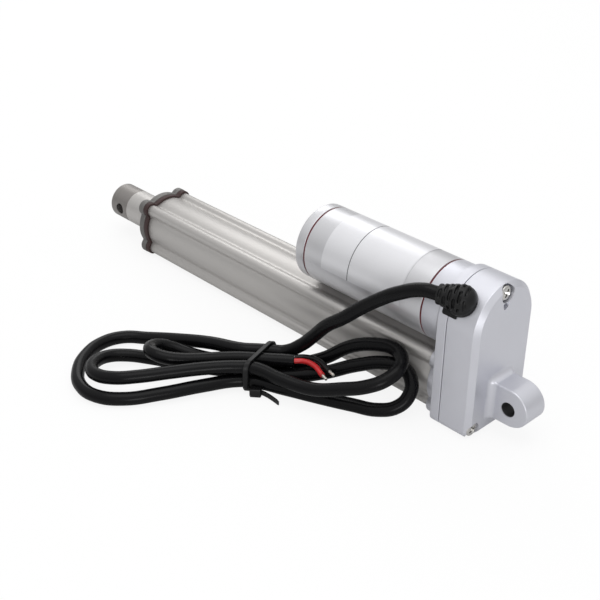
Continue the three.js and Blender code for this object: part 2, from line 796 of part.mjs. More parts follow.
function sealRing(x) {
  const inner = motorRadius - canWall;
  const crown = motorRadius - ringSink;
  const shoulder = motorRadius - ringShoulder;
  const end = x + ringWidth;
  return turnedX([
    [x, inner], [x, shoulder], [x + ringFlank, crown], [end - ringFlank, crown], [end, shoulder],
    [end, inner], [x, inner],
  ], 0, motorHeight, 32);
}

function motorEndCap() {
  const spigot = motorRadius - canWall - runGap;
  const inner = spigot - spigotWall;
  const spigotX = canFrontX - spigotLength;
  const floorX = endCapX - seatGap;
  const pocket = motorBushRadius + seatGap;
  const bushStart = floorX - motorBushLength / 2;
  const seat = pocket + motorBushSeatWall;
  return turnedX([
    [motorFrontX, 0], [motorFrontX, motorRadius - endCapRound],
    [motorFrontX - endCapRound * (1 - Math.SQRT1_2), motorRadius - endCapRound * (1 - Math.SQRT1_2)],
    [motorFrontX - endCapRound, motorRadius], [endCapX, motorRadius], [endCapX, spigot], [spigotX, spigot],
    [spigotX, inner], [floorX, inner], [floorX, seat], [bushStart, seat], [bushStart, pocket],
    [bushStart + motorBushLength, pocket], [bushStart + motorBushLength, 0],
  ], 0, motorHeight, 36);
}

function motorBush(x) {
  return ring(x, x + motorBushLength - 2 * seatGap, motorShaftRadius + seatGap, motorBushRadius, 0, motorHeight, 24);
}

function magnet(side) {
  const outer = motorRadius - canWall - runGap;
  const inner = outer - magnetThickness;
  const middle = side > 0 ? 0 : Math.PI;
  const start = middle - magnetSpan / 2;
  const end = middle + magnetSpan / 2;
  const outline = [
    ...arc(0, motorHeight, outer, start, end, 12),
    ...arc(0, motorHeight, inner, end, start, 12),
  ];
  const x = canX + (canLength - magnetLength) / 2 - spigotLength;
  return prismX(outline, x, x + magnetLength);
}

const armatureX = canX + (canLength - armatureLength) / 2 - spigotLength;
const commutatorX = armatureX + armatureLength + spigotLength;

// Armature: slotted core with a winding at each end, on the motor's shaft
function armature() {
  const radius = motorRadius - canWall - runGap - magnetThickness - airGap;
  const outline = [];
  for (let k = 0; k < armatureSlots; k += 1) {
    const middle = 2 * Math.PI * (k + 0.5) / armatureSlots;
    const half = Math.PI / armatureSlots;
    const lip = half - slotMouthHalfAngle;
    const floor = radius - armatureSlotDepth;
    outline.push(...arc(0, motorHeight, radius, middle - lip, middle + lip, 4));
    const [before, after] = [middle + half - slotFloorHalfAngle, middle + half + slotFloorHalfAngle];
    outline.push(...arc(0, motorHeight, floor, before, after, 1));
  }
  const end = armatureX + armatureLength;
  const winding = radius - armatureSlotDepth / 3;
  let core = prismX(outline, armatureX, end);
  for (const [x0, x1] of [[armatureX - windingLength, armatureX + seam], [end - seam, end + windingLength]]) {
    core = core.add(rod(x0, x1, winding, 0, motorHeight, 24));
  }
  const shaftEnd = endCapX - seatGap + motorBushLength / 2 - seatGap;
  const shaft = turnedX([
    [wheelX - seam, 0], [wheelX - seam, pinionShaftRadius], [flangeX, pinionShaftRadius],
    [flangeX, motorShaftRadius], [shaftEnd, motorShaftRadius], [shaftEnd, 0],
  ], 0, motorHeight, 20);
  return core.add(shaft);
}

function commutator() {
  const end = commutatorX + commutatorLength;
  return ring(commutatorX, end, motorShaftRadius + seatGap, commutatorRadius, 0, motorHeight, 20);
}

function brush(side) {
  const inner = commutatorRadius + runGap;
  const [y0, y1] = [side * inner, side * (inner + brushLength)].sort((a, b) => a - b);
  const x = commutatorX + (commutatorLength - brushWidth) / 2;
  const half = brushWidth / 2;
  return block(x, x + brushWidth, y0, y1, motorHeight - half, motorHeight + half);
}

// Brush holder: a disc across the can with a guide round each brush
function brushHolder() {
  const x = commutatorX + commutatorLength + runGap;
  const outer = motorRadius - canWall - runGap;
  const start = commutatorX + (commutatorLength - brushWidth) / 2 - 2 * seatGap;
  const inner = commutatorRadius + 2 * runGap;
  const half = brushWidth / 2 + brushGuideWall;
  let holder = ring(x, x + brushHolderThickness, commutatorRadius, outer, 0, motorHeight, 32);
  for (const side of [-1, 1]) {
    const [y0, y1] = [side * inner, side * (inner + brushLength)].sort((a, b) => a - b);
    holder = holder.add(block(start, x + seam, y0, y1, motorHeight - half, motorHeight + half));
    const slot = brushWidth / 2 + seatGap;
    const [s0, s1] = [side * (inner - seam), side * (inner + brushLength + seam)].sort((a, b) => a - b);
    const slotEnd = start + brushWidth + 4 * seatGap;
    holder = holder.subtract(block(start - seam, slotEnd, s0, s1, motorHeight - slot, motorHeight + slot));
  }
  return holder;
}

// Strain relief: a dome over the hole in the housing, and a ribbed sleeve turned along the motor
const bootAround = new THREE.Vector3(0, Math.sin(bootAngle), -Math.cos(bootAngle));
const bootAxis = new THREE.Vector3(Math.cos(bootRise), 0, 0)
  .addScaledVector(bootOut, Math.sin(bootRise))
  .addScaledVector(bootAround, Math.tan(bootTurn))
  .normalize();
const bootCentre = bootPlace(housingHalfWidth + bootDomeHeight);
const bootTip = bootCentre.clone().addScaledVector(bootAxis, bootLength);

function strainRelief() {
  const neck = motorRadius - housingWall;
  const surface = housingHalfWidth;
  const crown = surface + bootDomeHeight;
  const foot = surface - bootSink;
  const dome = [[neck, 0], [neck, bootNeckRadius], [foot, bootNeckRadius], [foot, bootDomeRadius]];
  for (let k = 0; k <= 5; k += 1) {
    const angle = k / 5 * Math.PI / 2;
    dome.push([crown + bootDomeRadius * bootDomeFlatness * Math.sin(angle), bootDomeRadius * Math.cos(angle)]);
  }
  const sleeve = [[0, 0], [0, bootRibRadius]];
  const first = bootDomeRadius * bootRibStart;
  const pitch = (bootLength - first) / bootRibs;
  for (let k = 0; k < bootRibs; k += 1) {
    const at = first + k * pitch;
    const radius = bootRibRadius + (bootTipRadius - bootRibRadius) * k / (bootRibs - 1);
    sleeve.push([at, radius - bootRibDepth], [at + pitch * bootRibFoot, radius - bootRibDepth]);
    sleeve.push([at + pitch * bootRibRise, radius], [at + pitch * bootRibEnd, radius]);
  }
  sleeve.push([bootLength, bootTipRadius - bootRibDepth], [bootLength, 0]);
  let boot = turnedAlong(dome, bootPlace(0), bootOut, 20);
  boot = boot.add(turnedAlong(sleeve, bootCentre, bootAxis, 14));
  const pad = [
    ...arc(0, archHeight, surface + bootPadThickness, bootAngle - bootPadAngle, bootAngle + bootPadAngle, 6),
    ...arc(0, archHeight, foot, bootAngle + bootPadAngle, bootAngle - bootPadAngle, 6),
  ];
  boot = boot.add(prismX(pad, bootX, bootX + bootPadLength));
  const keepClear = prismX(housingOutline(-seatGap), rearFaceX, flangeFrontX + seatGap);
  const shell = keepClear.subtract(boreForNeck());
  const collar = rod(flangeFrontX, collarFrontX + spigotLength, motorRadius + seatGap, 0, motorHeight, 48);
  return boot.subtract(shell).subtract(collar);
}

function boreForNeck() {
  const end = housingHalfWidth + bootSink;
  return turnedAlong([[0, 0], [0, bootNeckRadius], [end, bootNeckRadius], [end, 0]], bootPlace(0), bootOut, 24);
}

// Cable hank: six strands through one tie, three lobes to the left and two to the right
const through = new THREE.Vector3(0.756, 0.654, 0).normalize();
const across = new THREE.Vector3(-through.y, through.x, 0);
const up = new THREE.Vector3(0, 0, 1);
const floorLevel = cableRadius - baseDrop;
const strandLow = floorLevel + tieThickness + jointGap + seatGap;

function strandAt(column, layer) {
  const height = strandLow + layer * strandPitch;
  return new THREE.Vector3(tieSpot.x, tieSpot.y, height).addScaledVector(across, column * strandPitch);
}

// One lobe: out along its heading, round and back, as a drop shape that may lean and lift
function lobe(from, to, { reach, spread, fullness, heading, lean, lift, sink }, steps) {
  const out = new THREE.Vector3(Math.cos(heading), Math.sin(heading), 0);
  const sideways = new THREE.Vector3(-out.y, out.x, 0).multiplyScalar(Math.cos(lean)).addScaledVector(up, Math.sin(lean));
  const points = [];
  for (let k = 1; k < steps; k += 1) {
    const t = k / steps;
    const wave = Math.sin(Math.PI * t);
    const share = (1 - Math.cos(Math.PI * t)) / 2;
    const point = from.clone().lerp(to, share);
    point.addScaledVector(out, reach * wave);
    point.addScaledVector(sideways, -spread * Math.sin(2 * Math.PI * t) * wave ** fullness);
    const settle = Math.min(1, wave / sink) ** 2;
    point.z += (floorLevel + lift * wave - (from.z + (to.z - from.z) * share)) * settle;
    points.push(point);
  }
  return points;
}

const degrees = THREE.MathUtils.degToRad;
const leftOuter = {
  reach: 82.6, spread: 25, fullness: 0.42, heading: degrees(40.1), lean: degrees(0.2), lift: 0.1, sink: 0.59,
};
const rightOuter = {
  reach: 78.2, spread: 13.5, fullness: 1.38, heading: degrees(211), lean: degrees(57.3), lift: 9.9, sink: 0.59,
};
const leftInner = {
  reach: 74.6, spread: 15.9, fullness: 0.94, heading: degrees(42.3), lean: degrees(10.6), lift: 4.3, sink: 1.03,
};
const rightInner = {
  reach: 73.7, spread: 10.2, fullness: 0.54, heading: degrees(208.1), lean: degrees(25.2), lift: 22.4, sink: 0.66,
};
const leftShort = {
  reach: 48, spread: 10.8, fullness: 1.37, heading: degrees(40.7), lean: degrees(22.2), lift: 9.7, sink: 0.89,
};

function hankPoints() {
  const passes = [strandAt(-1, 1), strandAt(1, 0), strandAt(0, 0), strandAt(1, 1), strandAt(-1, 0), strandAt(0, 1)];
  const lobes = [leftOuter, rightOuter, leftInner, rightInner, leftShort];
  const entry = 3 * cableRadius;
  const points = [passes[0].clone().addScaledVector(through, -entry)];
  passes.forEach((pass, i) => {
    const way = i % 2 === 0 ? 1 : -1;
    points.push(pass.clone().addScaledVector(through, -tieWidth * way));
    points.push(pass.clone().addScaledVector(through, tieWidth * way));
    if (i < lobes.length) {
      const end = passes[i + 1];
      points.push(...lobe(pass, end, lobes[i], hankLoopSteps / 2 - 1));
    }
  });
  const last = passes[passes.length - 1];
  for (let k = 1; k <= jacketSteps; k += 1) {
    const along = tieWidth + (jacketReach - tieWidth) * k / jacketSteps;
    points.push(last.clone().addScaledVector(through, -along));
  }
  return points;
}

// Least distance between the surfaces of two stretches of the tube that aren't neighbours
function leastGap(points, radius) {
  const fine = new THREE.CatmullRomCurve3(points).getSpacedPoints(points.length * 6);
  const step = fine[0].distanceTo(fine[1]);
  const skip = Math.ceil(4 * radius * Math.PI / 2 / step);
  let least = Infinity;
  for (let i = 0; i < fine.length; i += 1) {
    for (let j = i + skip; j < fine.length; j += 1) least = Math.min(least, fine[i].distanceTo(fine[j]));
  }
  return least - 2 * radius;
}

const hankLine = hankPoints();
console.log('cable hank: least gap to itself', leastGap(hankLine, cableRadius).toFixed(2), 'mm');

// Cable from the strain relief to the hank, through points chosen by hand
const leadStart = bootTip.clone().addScaledVector(bootAxis, jointGap);
const leadEnd = hankLine[0].clone().addScaledVector(through, -jointGap);
const leadPoints = [
  leadStart,
  leadStart.clone().addScaledVector(bootAxis, 2 * cableRadius),
  new THREE.Vector3(51, 25.5, 44.6),
  new THREE.Vector3(59, 27, 38.9),
  new THREE.Vector3(67.5, 29, 31.8),
  new THREE.Vector3(75.5, 32, 24.2),
  new THREE.Vector3(84.5, 34, 16.6),
  new THREE.Vector3(91, 35.6, 8.8),
  new THREE.Vector3(97.4, 37.8, 1.6),
  leadEnd.clone().addScaledVector(through, -2 * cableRadius),
  leadEnd,
];

function freeTube(points, radius, sides) {
  const path = new THREE.CatmullRomCurve3(points);
  const steps = Math.min(tubeStepLimit, Math.ceil(path.getLength() / (tubeStepDiameters * 2 * radius)));
  const shape = new THREE.Shape(circle(0, 0, radius, sides));
  return solidOf(new THREE.ExtrudeGeometry(shape, { steps, extrudePath: path, bevelEnabled: false }));
}

// Cable tie: a strap round the strands, with its head and tail on the near side
function cableTie() {
  const wide = strandPitch + cableRadius + jointGap;
  const low = strandLow - cableRadius - jointGap;
  const high = strandLow + strandPitch + cableRadius + jointGap;
  const frame = (grow) => {
    const corner = cableRadius + grow;
    return [
      ...arc(wide + grow - corner, high + grow - corner, corner, 0, Math.PI / 2, 4),
      ...arc(corner - wide - grow, high + grow - corner, corner, Math.PI / 2, Math.PI, 4),
      ...arc(corner - wide - grow, low - grow + corner, corner, Math.PI, 1.5 * Math.PI, 4),
      ...arc(wide + grow - corner, low - grow + corner, corner, 1.5 * Math.PI, 2 * Math.PI, 4),
    ];
  };
  const shape = new THREE.Shape(frame(tieThickness));
  shape.holes.push(new THREE.Path(frame(0).reverse()));
  const strap = new THREE.ExtrudeGeometry(shape, { depth: tieWidth, bevelEnabled: false });
  strap.translate(0, 0, -tieWidth / 2);
  const head = new THREE.BoxGeometry(tieHeadHeight, tieHeadHeight, tieHeadWidth);
  head.translate(wide + tieThickness + tieHeadOffset, low + tieHeadRise, 0);
  const tail = new THREE.BoxGeometry(tieTailLength, tieThickness, tieTailWidth);
  tail.translate(wide + tieThickness + tieTailLength / 2, low + tieHeadRise, 0);
  const turn = new THREE.Matrix4().makeBasis(across, up, across.clone().cross(up));
  turn.setPosition(tieSpot.x, tieSpot.y, 0);
  const [band, ...ends] = [strap, head, tail].map((geometry) => solidOf(geometry.applyMatrix4(turn)));
  return ends.reduce((whole, piece) => whole.add(piece), band);
}

const jacketEnd = hankLine[hankLine.length - 1];

function wirePath(side, drift, reach, rise) {
  const start = jacketEnd.clone().addScaledVector(through, -jointGap).addScaledVector(across, side);
  start.addScaledVector(up, cableRadius / 3);
  const at = (along, height, apart) => start.clone().addScaledVector(through, -reach * along)
    .addScaledVector(up, rise * height).addScaledVector(across, drift * apart);
  return [start, at(0.3, 0.2, 0), at(0.65, 0.8, 0.3), at(1, 1, 1)];
}

function wireTip(path) {
  const [before, end] = path.slice(-2);
  const direction = end.clone().sub(before).normalize();
  const length = wireTipLength;
  return turnedAlong([[jointGap, 0], [jointGap, wireTipRadius], [length, wireTipRadius], [length, 0]], end, direction, 8);
}

addPiece('rear_housing', rearHousing(), castAluminium);
addPiece('front_housing', frontHousing(), castAluminium);
housingScrewSpots().forEach(([y, z], i) => addPiece(`housing_screw_${i + 1}`, housingScrew(y, z), darkSteel));
addPiece('outer_tube', outerTube(), satinAluminium);
addPiece('tube_gasket', capPlate(gasketX, gasketX + gasketThickness, boreRadius), brownRubber);
addPiece('front_cap', frontCap(), castZinc);
earSpots().forEach(([y, z], i) => addPiece(`cap_screw_${i + 1}`, capScrew(y, z), darkSteel));
const bushFrontX = tubeFrontX - seatGap;
addPiece('guide_bush', ring(bushFrontX - bushLength, bushFrontX, rodRadius + runGap, boreRadius - runGap), whitePlastic);
const wiperFrontX = capFrontX + wiperProud;
addPiece('wiper_seal', ring(wiperFrontX - wiperLength, wiperFrontX, rodRadius + runGap, wiperRadius), blackRubber);

addPiece('lead_screw', leadScrew(), satinSteel);
addPiece('screw_gear', screwGear(), brass);
addPiece('idler_gear', idlerGear(), whitePlastic);
addPiece('idler_axle', idlerAxle(), satinSteel);
addPiece('motor_pinion', motorPinion(), brass);
addPiece('bearing_outer_ring', bearingOuterRing(), satinSteel);
addPiece('bearing_inner_ring', bearingInnerRing(), satinSteel);
addPiece('bearing_ball_cage', bearingBallCage(), brass);
addPiece('drive_nut', driveNut(), whitePlastic);
addPiece('inner_rod', innerRod(), satinSteel);
addPiece('rod_end', rodEnd(), darkSteel);
addPiece('limit_switch_strip', switchStrip(), redPlastic);
addPiece('limit_switch_rear', limitSwitch(nutStart - switchLength / 2 + nutLength / 2), blackPlastic);
addPiece('limit_switch_front', limitSwitch(nutStart + stroke + nutLength / 2 - switchLength / 2), blackPlastic);

addPiece('motor_can', motorCan(), satinAluminium);
addPiece('motor_end_cap', motorEndCap(), castAluminium);
addPiece('motor_ring_front', sealRing(frontRingX), redRubber);
addPiece('motor_ring_rear', sealRing(rearRingX), redRubber);
addPiece('magnet_left', magnet(1), ferrite);
addPiece('magnet_right', magnet(-1), ferrite);
addPiece('armature', armature(), copper);
addPiece('commutator', commutator(), copper);
addPiece('brush_holder', brushHolder(), blackPlastic);
addPiece('brush_left', brush(1), ferrite);
addPiece('brush_right', brush(-1), ferrite);
addPiece('motor_bush_front', motorBush(collarFrontX - motorBushLength / 2), brass);
addPiece('motor_bush_rear', motorBush(endCapX - motorBushLength / 2), brass);

addPiece('strain_relief', strainRelief(), blackRubber);
addPiece('cord_lead', freeTube(leadPoints, cableRadius, cableSides), blackRubber);
addPiece('cord_hank', sweptTube(hankLine, cableRadius, hankSides), blackRubber);
addPiece('cable_tie', cableTie(), blackPlastic);
const redPath = wirePath(wireApart, redWireDrift, redWireReach, redWireRise);
const blackPath = wirePath(-wireApart, blackWireDrift, blackWireReach, blackWireRise);
addPiece('red_wire', freeTube(redPath, wireRadius, wireSides), redPlastic);
addPiece('black_wire', freeTube(blackPath, wireRadius, wireSides), blackPlastic);
addPiece('red_wire_tip', wireTip(redPath), tinned);
addPiece('black_wire_tip', wireTip(blackPath), tinned);

// The part stands with the middle of its length over the origin and its base on Z = 0
model.position.set(-(rodTipX - lugRadius) / 2, 0, baseDrop);

export default model;
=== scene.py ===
"""Looks of a linear actuator: satin aluminium motor, gear housing and extruded tube, a steel rod,
and a black cable tied into a hank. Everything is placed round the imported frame.

Sizes are written in millimetres on the part's own axes: X runs from the rear lug's hole towards
the rod's tip, Y towards the cable's side, and Z up from the rod's axis. The function at() turns
such a place into metres in the frame.
"""

import math

import bmesh
import bpy
from mathutils import Matrix, Vector


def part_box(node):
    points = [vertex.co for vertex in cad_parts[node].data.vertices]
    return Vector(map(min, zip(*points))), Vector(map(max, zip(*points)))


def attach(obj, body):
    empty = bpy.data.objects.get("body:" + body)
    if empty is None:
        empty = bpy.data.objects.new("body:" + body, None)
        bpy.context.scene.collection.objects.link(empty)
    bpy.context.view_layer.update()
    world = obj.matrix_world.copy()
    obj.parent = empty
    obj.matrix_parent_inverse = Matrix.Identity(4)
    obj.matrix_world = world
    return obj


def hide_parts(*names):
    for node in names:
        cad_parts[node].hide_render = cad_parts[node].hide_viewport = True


bl_info = {
    "name": "Linear Actuator",
    "version": (1, 0, 0),
    "blender": (4, 5, 0),
    "location": "View3D > Sidebar > Actuator",
    "description": "Builds the visible pieces of a linear actuator on its frame",
    "category": "Add Mesh",
}

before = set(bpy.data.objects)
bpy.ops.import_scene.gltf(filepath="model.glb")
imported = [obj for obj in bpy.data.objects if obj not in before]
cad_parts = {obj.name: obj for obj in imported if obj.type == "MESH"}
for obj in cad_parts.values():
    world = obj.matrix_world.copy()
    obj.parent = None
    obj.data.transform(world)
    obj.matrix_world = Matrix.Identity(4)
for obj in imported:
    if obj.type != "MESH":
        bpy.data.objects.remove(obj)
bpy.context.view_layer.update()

MM = 0.001
UP = Vector((0, 0, 1))

# Place of the part's own axes in the frame
ROD_TIP_X = 288.9
LUG_RADIUS = 10.0
BASE_DROP = 16.4
AXES = Vector((-(ROD_TIP_X - LUG_RADIUS) / 2, 0, BASE_DROP))


def at(x, y, z):
    """A place on the part's own axes in millimetres, as a point of the frame in metres."""
    return (Vector((x, y, z)) + AXES) * MM


def reach(node, axis=0):
    """Where a frame node starts and ends along an axis, in millimetres on the part's own axes."""
    low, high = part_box(node)
    return low[axis] / MM - AXES[axis], high[axis] / MM - AXES[axis]


# Stations along X and the motor's place, taken from the frame where it gives them
REAR_FACE = 10.2
SPLIT_X = 26.7
FLANGE_THICKNESS = 5.0
FLANGE_X = reach("front_housing")[0]
FLANGE_FRONT = FLANGE_X + FLANGE_THICKNESS
TUBE_X, TUBE_FRONT = reach("outer_tube")
GASKET_X, GASKET_FRONT = reach("tube_gasket")
CAP_X, CAP_FRONT = reach("front_cap")
CAN_X, CAN_FRONT = reach("motor_can")
FRONT_RING_X = sum(reach("motor_ring_front")) / 2
REAR_RING_X = sum(reach("motor_ring_rear")) / 2
END_CAP_FRONT = reach("motor_end_cap")[1]
ROD_X, EYE_X = reach("inner_rod")
EYE_FRONT = reach("rod_end")[1]
CAN_LOW, CAN_HIGH = reach("motor_can", 1)
MOTOR_RADIUS = (CAN_HIGH - CAN_LOW) / 2
MOTOR_Z = 35.4
ARCH_Z = 36.15


# Shader maths


class Term:
    """A shader socket that can be used in sums; every sum adds a Math node."""

    def __init__(self, shader, socket):
        self.shader = shader
        self.socket = socket

    def math(self, operation, *values):
        return self.shader.node("ShaderNodeMath", {"operation": operation}, values)

    def __add__(self, other):
        return self.math("ADD", self, other)

    def __radd__(self, other):
        return self.math("ADD", other, self)

    def __rsub__(self, other):
        return self.math("SUBTRACT", other, self)

    def __mul__(self, other):
        return self.math("MULTIPLY", self, other)

    def __rmul__(self, other):
        return self.math("MULTIPLY", other, self)

    def clamped(self):
        low = self.math("MAXIMUM", self, 0.0)
        return low.math("MINIMUM", low, 1.0)


class Shader:
    """Builds the nodes of one material or world."""

    def __init__(self, owner):
        owner.use_nodes = True
        self.tree = owner.node_tree
        self.tree.nodes.clear()

    def node(self, kind, settings=None, values=(), output=0):
        """Adds a node: its settings first, then the values or links of its sockets."""
        made = self.tree.nodes.new(kind)
        for name, value in (settings or {}).items():
            setattr(made, name, value)
        pairs = values.items() if isinstance(values, dict) else enumerate(values)
        for key, value in pairs:
            self.feed(made.inputs[key], value)
        return Term(self, made.outputs[output])

    def feed(self, socket, value):
        if isinstance(value, Term):
            self.tree.links.new(value.socket, socket)
        else:
            socket.default_value = (*value, 1.0) if socket.type == "RGBA" else value

    def close(self, shaded, kind="ShaderNodeOutputMaterial"):
        """Leads the finished shader into the tree's output."""
        self.feed(self.tree.nodes.new(kind).inputs["Surface"], shaded)

    def noise(self, scale, detail, stretch=(1, 1, 1)):
        """Noise on the object's own coordinates; a small stretch draws it out along that axis."""
        place = self.node("ShaderNodeTexCoord", output="Object")
        vector = self.node("ShaderNodeVectorMath", {"operation": "MULTIPLY"}, [place, stretch])
        return self.node("ShaderNodeTexNoise", None, {"Vector": vector, "Scale": scale, "Detail": detail})

    def mix(self, factor, first, second):
        """A mix of two colours, which are sockets 6 and 7 of a Mix node; its colour is output 2."""
        return self.node("ShaderNodeMix", {"data_type": "RGBA"}, {0: factor, 6: first, 7: second}, output=2)

    def bump(self, height, distance, strength):
        values = {"Height": height, "Distance": distance, "Strength": strength}
        return self.node("ShaderNodeBump", None, values, output="Normal")

    def ray(self, kind):
        """1 for rays of that kind, such as Camera, and 0 for others."""
        return self.node("ShaderNodeLightPath", output=f"Is {kind} Ray")


# Finishes

MATERIALS = {}


def weighed(weights, grains):
    """Sum of the noises, each times its weight; a weight of 0 leaves its noise out."""
    parts = [grain if weight == 1 else weight * grain for weight, grain in zip(weights, grains) if weight]
    return sum(parts[1:], parts[0])


def shade(colour, amount):
    return tuple(channel * amount for channel in colour)


def around(colour, low, high):
    """A darker and a lighter tone of the colour."""
    return shade(colour, low), shade(colour, high)


def surface(name, tones, noises, mixed, rough, depth=0.0, strength=0.3, bumped=(1,), metallic=0.0, shine=0.5):
    """The material of that name, made on its first use from one or two noises between two tones.

    A noise has a scale, a detail and maybe a stretch. mixed, rough and bumped weigh the noises for the
    colour, for the roughness, whose least value comes first, and for a bump of that depth in metres.
    """
    if name not in MATERIALS:
        MATERIALS[name] = bpy.data.materials.new(name)
        s = Shader(MATERIALS[name])
        grains = [s.noise(*noise) for noise in noises]
        sockets = {
            "Base Color": s.mix(weighed(mixed, grains), *tones),
            "Roughness": rough[0] + weighed(rough[1:], grains),
            "Metallic": metallic,
            "Specular IOR Level": shine,
        }
        if depth:
            sockets["Normal"] = s.bump(weighed(bumped, grains), depth, strength)
        s.close(s.node("ShaderNodeBsdfPrincipled", None, sockets))
    return MATERIALS[name]


def rubber(name, colour, roughness, scale=1500, depth=6e-5, shine=0.3):
    """A rubber or soft plastic of that colour with a fine matt grain."""
    tones, noises = around(colour, 0.8, 1.25), [(scale, 3), (90, 2)]
    return surface(name, tones, noises, (0, 1), (roughness - 0.05, 0.1, 0.04), depth, 0.4, shine=shine)


def metal(name, colour, roughness):
    """A plain machined metal for pieces inside the housing and the motor."""
    tones, noises = around(colour, 0.88, 1.1), [(1200, 3, (1, 0.2, 0.2))]
    return surface(name, tones, noises, (1,), (roughness, 0.1), 3e-5, metallic=0.95)


def moulded(name, colour, roughness):
    """A moulded plastic with a faint texture."""
    return surface(name, around(colour, 0.93, 1.05), [(1400, 2)], (1,), (roughness, 0.1), 3e-5)


def finishes():
    """Every finish of the actuator by its short name."""
    colours = bpy.context.scene.actuator_colours
    screw, dark_screw = ((0.5, 0.49, 0.47), (0.72, 0.71, 0.69)), ((0.10, 0.095, 0.09), (0.22, 0.21, 0.2))
    rule = (0.05, 0.05, 0.055), (0.09, 0.09, 0.095)
    streaks = [(900, 4, (0.004, 1, 1)), (220, 2, (0.004, 1, 1))]
    return {
        "cast": surface(
            "CastAluminium", around(colours.cast_aluminium, 0.95, 1.05), [(1900, 3), (45, 3)], (0, 1),
            rough=(0.34, 0.06, 0.08), depth=8e-5, strength=0.5, metallic=0.75),
        "extruded": surface(
            "ExtrudedAluminium", around(colours.extruded_aluminium, 0.985, 1.015), streaks, (0.5, 0.5),
            rough=(0.42, 0.04), depth=5e-6, metallic=0.78),
        "shell": surface(
            "TurnedAluminium", around(colours.motor_shell, 0.95, 1.05), [(1400, 3, (1, 0.01, 0.01)), (30, 2)],
            (0.5, 0.5), rough=(0.3, 0.12), depth=4e-5, metallic=0.75),
        "label": surface(
            "FoilLabel", around(colours.label, 0.97, 1.02), [(2600, 2), (60, 3)], (0, 1),
            rough=(0.3, 0.08), depth=3e-5, strength=0.25, metallic=0.5),
        "rule": surface("LabelRule", rule, [(1800, 2)], (1,), rough=(0.45, 0.1)),
        "rod": surface(
            "SatinRod", around(colours.rod, 0.93, 1.05), [(1500, 3, (1, 0.02, 0.02))], (1,),
            rough=(0.38, 0.12), depth=3e-5, metallic=0.85),
        "rod_end": surface(
            "TurnedSteel", around(colours.rod_end, 0.85, 1.15), [(1100, 4, (1, 0.03, 0.03)), (900, 3)],
            (0.6, 0.4), rough=(0.36, 0, 0.14), depth=5e-5, strength=0.4, bumped=(1, 0.5), metallic=0.85),
        "cap": surface(
            "CastZinc", around(colours.front_cap, 0.8, 1.2), [(1300, 4), (120, 3)], (0, 1),
            rough=(0.42, 0.16), depth=1.2e-4, strength=0.6, metallic=0.6),
        "screw": surface(
            "ScrewSteel", screw, [(1500, 4)], (1,), rough=(0.22, 0.16), depth=4e-5, metallic=1.0),
        "dark_screw": surface(
            "DarkScrew", dark_screw, [(1500, 4)], (1,), rough=(0.35, 0.15), depth=4e-5, metallic=0.8),
        # Painted shade: a dark grey metal that lines the lug's hole and stands in for the shade inside it
        "painted_bore_shade": metal("PaintedBoreShade", (0.12, 0.12, 0.12), 0.5),
        "gasket": rubber("GasketRubber", colours.gasket, 0.55),
        "ring": rubber("RingRubber", colours.seal_ring, 0.45),
        "boot": rubber("BootRubber", colours.cable, 0.4),
        "cable": rubber("CableJacket", colours.cable, 0.25, 2200, 2e-5, 0.14),
        "tie": rubber("TieNylon", shade(colours.cable, 0.8), 0.38),
        "red": rubber("RedInsulation", colours.red_wire, 0.32, shine=0.5),
        "black": rubber("BlackInsulation", shade(colours.cable, 0.8), 0.34),
        "tinned": metal("TinnedStrands", (0.75, 0.72, 0.66), 0.35),
        "steel": metal("GroundSteel", (0.6, 0.6, 0.6), 0.25),
        "brass": metal("Brass", (0.7, 0.5, 0.22), 0.28),
        "copper": metal("Copper", (0.72, 0.36, 0.2), 0.35),
        "nylon": moulded("NaturalNylon", (0.78, 0.77, 0.72), 0.4),
        "plastic": moulded("BlackPlastic", (0.03, 0.03, 0.032), 0.4),
        "board": moulded("RedBoard", (0.45, 0.05, 0.05), 0.4),
        "ferrite": moulded("Ferrite", (0.1, 0.1, 0.105), 0.6),
    }


# Mesh helpers


def link(name, data):
    """A new object of that data, in the scene."""
    made = bpy.data.objects.new(name, data)
    bpy.context.scene.collection.objects.link(made)
    return made


def mesh_object(name, points, faces):
    """A mesh object made from places on the part's axes."""
    mesh = bpy.data.meshes.new(name)
    mesh.from_pydata([at(*point) for point in points], [], faces)
    return link(name, mesh)


def dress(made, finish, nodes, body="housing"):
    """Gives a piece its finish and body, and hides the frame's nodes that it stands for."""
    made.data.materials.append(finishes()[finish])
    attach(made, body)
    if nodes:
        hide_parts(*nodes)
    return made


def piece(name, skin, finish, slot, *nodes, body="housing", sharp=35):
    """A piece from the points and faces of its skin."""
    made = mesh_object(name, *skin)
    smooth(made, sharp)
    return dress(made, finish, nodes, body)


def face_outwards(mesh, weld):
    """Turns the faces outwards; weld first joins the points that share a place."""
    clean = bmesh.new()
    clean.from_mesh(mesh)
    if weld:
        bmesh.ops.remove_doubles(clean, verts=clean.verts, dist=1e-7)
    bmesh.ops.recalc_face_normals(clean, faces=clean.faces)
    clean.to_mesh(mesh)
    clean.free()


def smooth(made, sharp, crisp=False):
    """Cleans and shades a mesh; crisp keeps its large flat faces flat beside rounded edges."""
    if "custom_normal" in made.data.attributes:
        made.data.attributes.remove(made.data.attributes["custom_normal"])
    face_outwards(made.data, True)
    made.data.shade_smooth()
    made.data.set_sharp_from_angle(angle=math.radians(sharp))
    if crisp:
        made.modifiers.new("crisp", "WEIGHTED_NORMAL").keep_sharp = True
        bake(made)


def bake(target):
    """Replaces the object's mesh by what its modifiers make of it."""
    bpy.context.view_layer.update()
    evaluated = target.evaluated_get(bpy.context.evaluated_depsgraph_get())
    made = bpy.data.meshes.new_from_object(evaluated)
    target.modifiers.clear()
    target.data = made


def cut(target, *tools):
    """Takes the tool solids away from the target, then removes the tools."""
    for tool in tools:
        step = target.modifiers.new("cut", "BOOLEAN")
        step.operation = "DIFFERENCE"
        step.solver = "EXACT"
        step.object = tool
    bake(target)
    for tool in tools:
        bpy.data.objects.remove(tool)


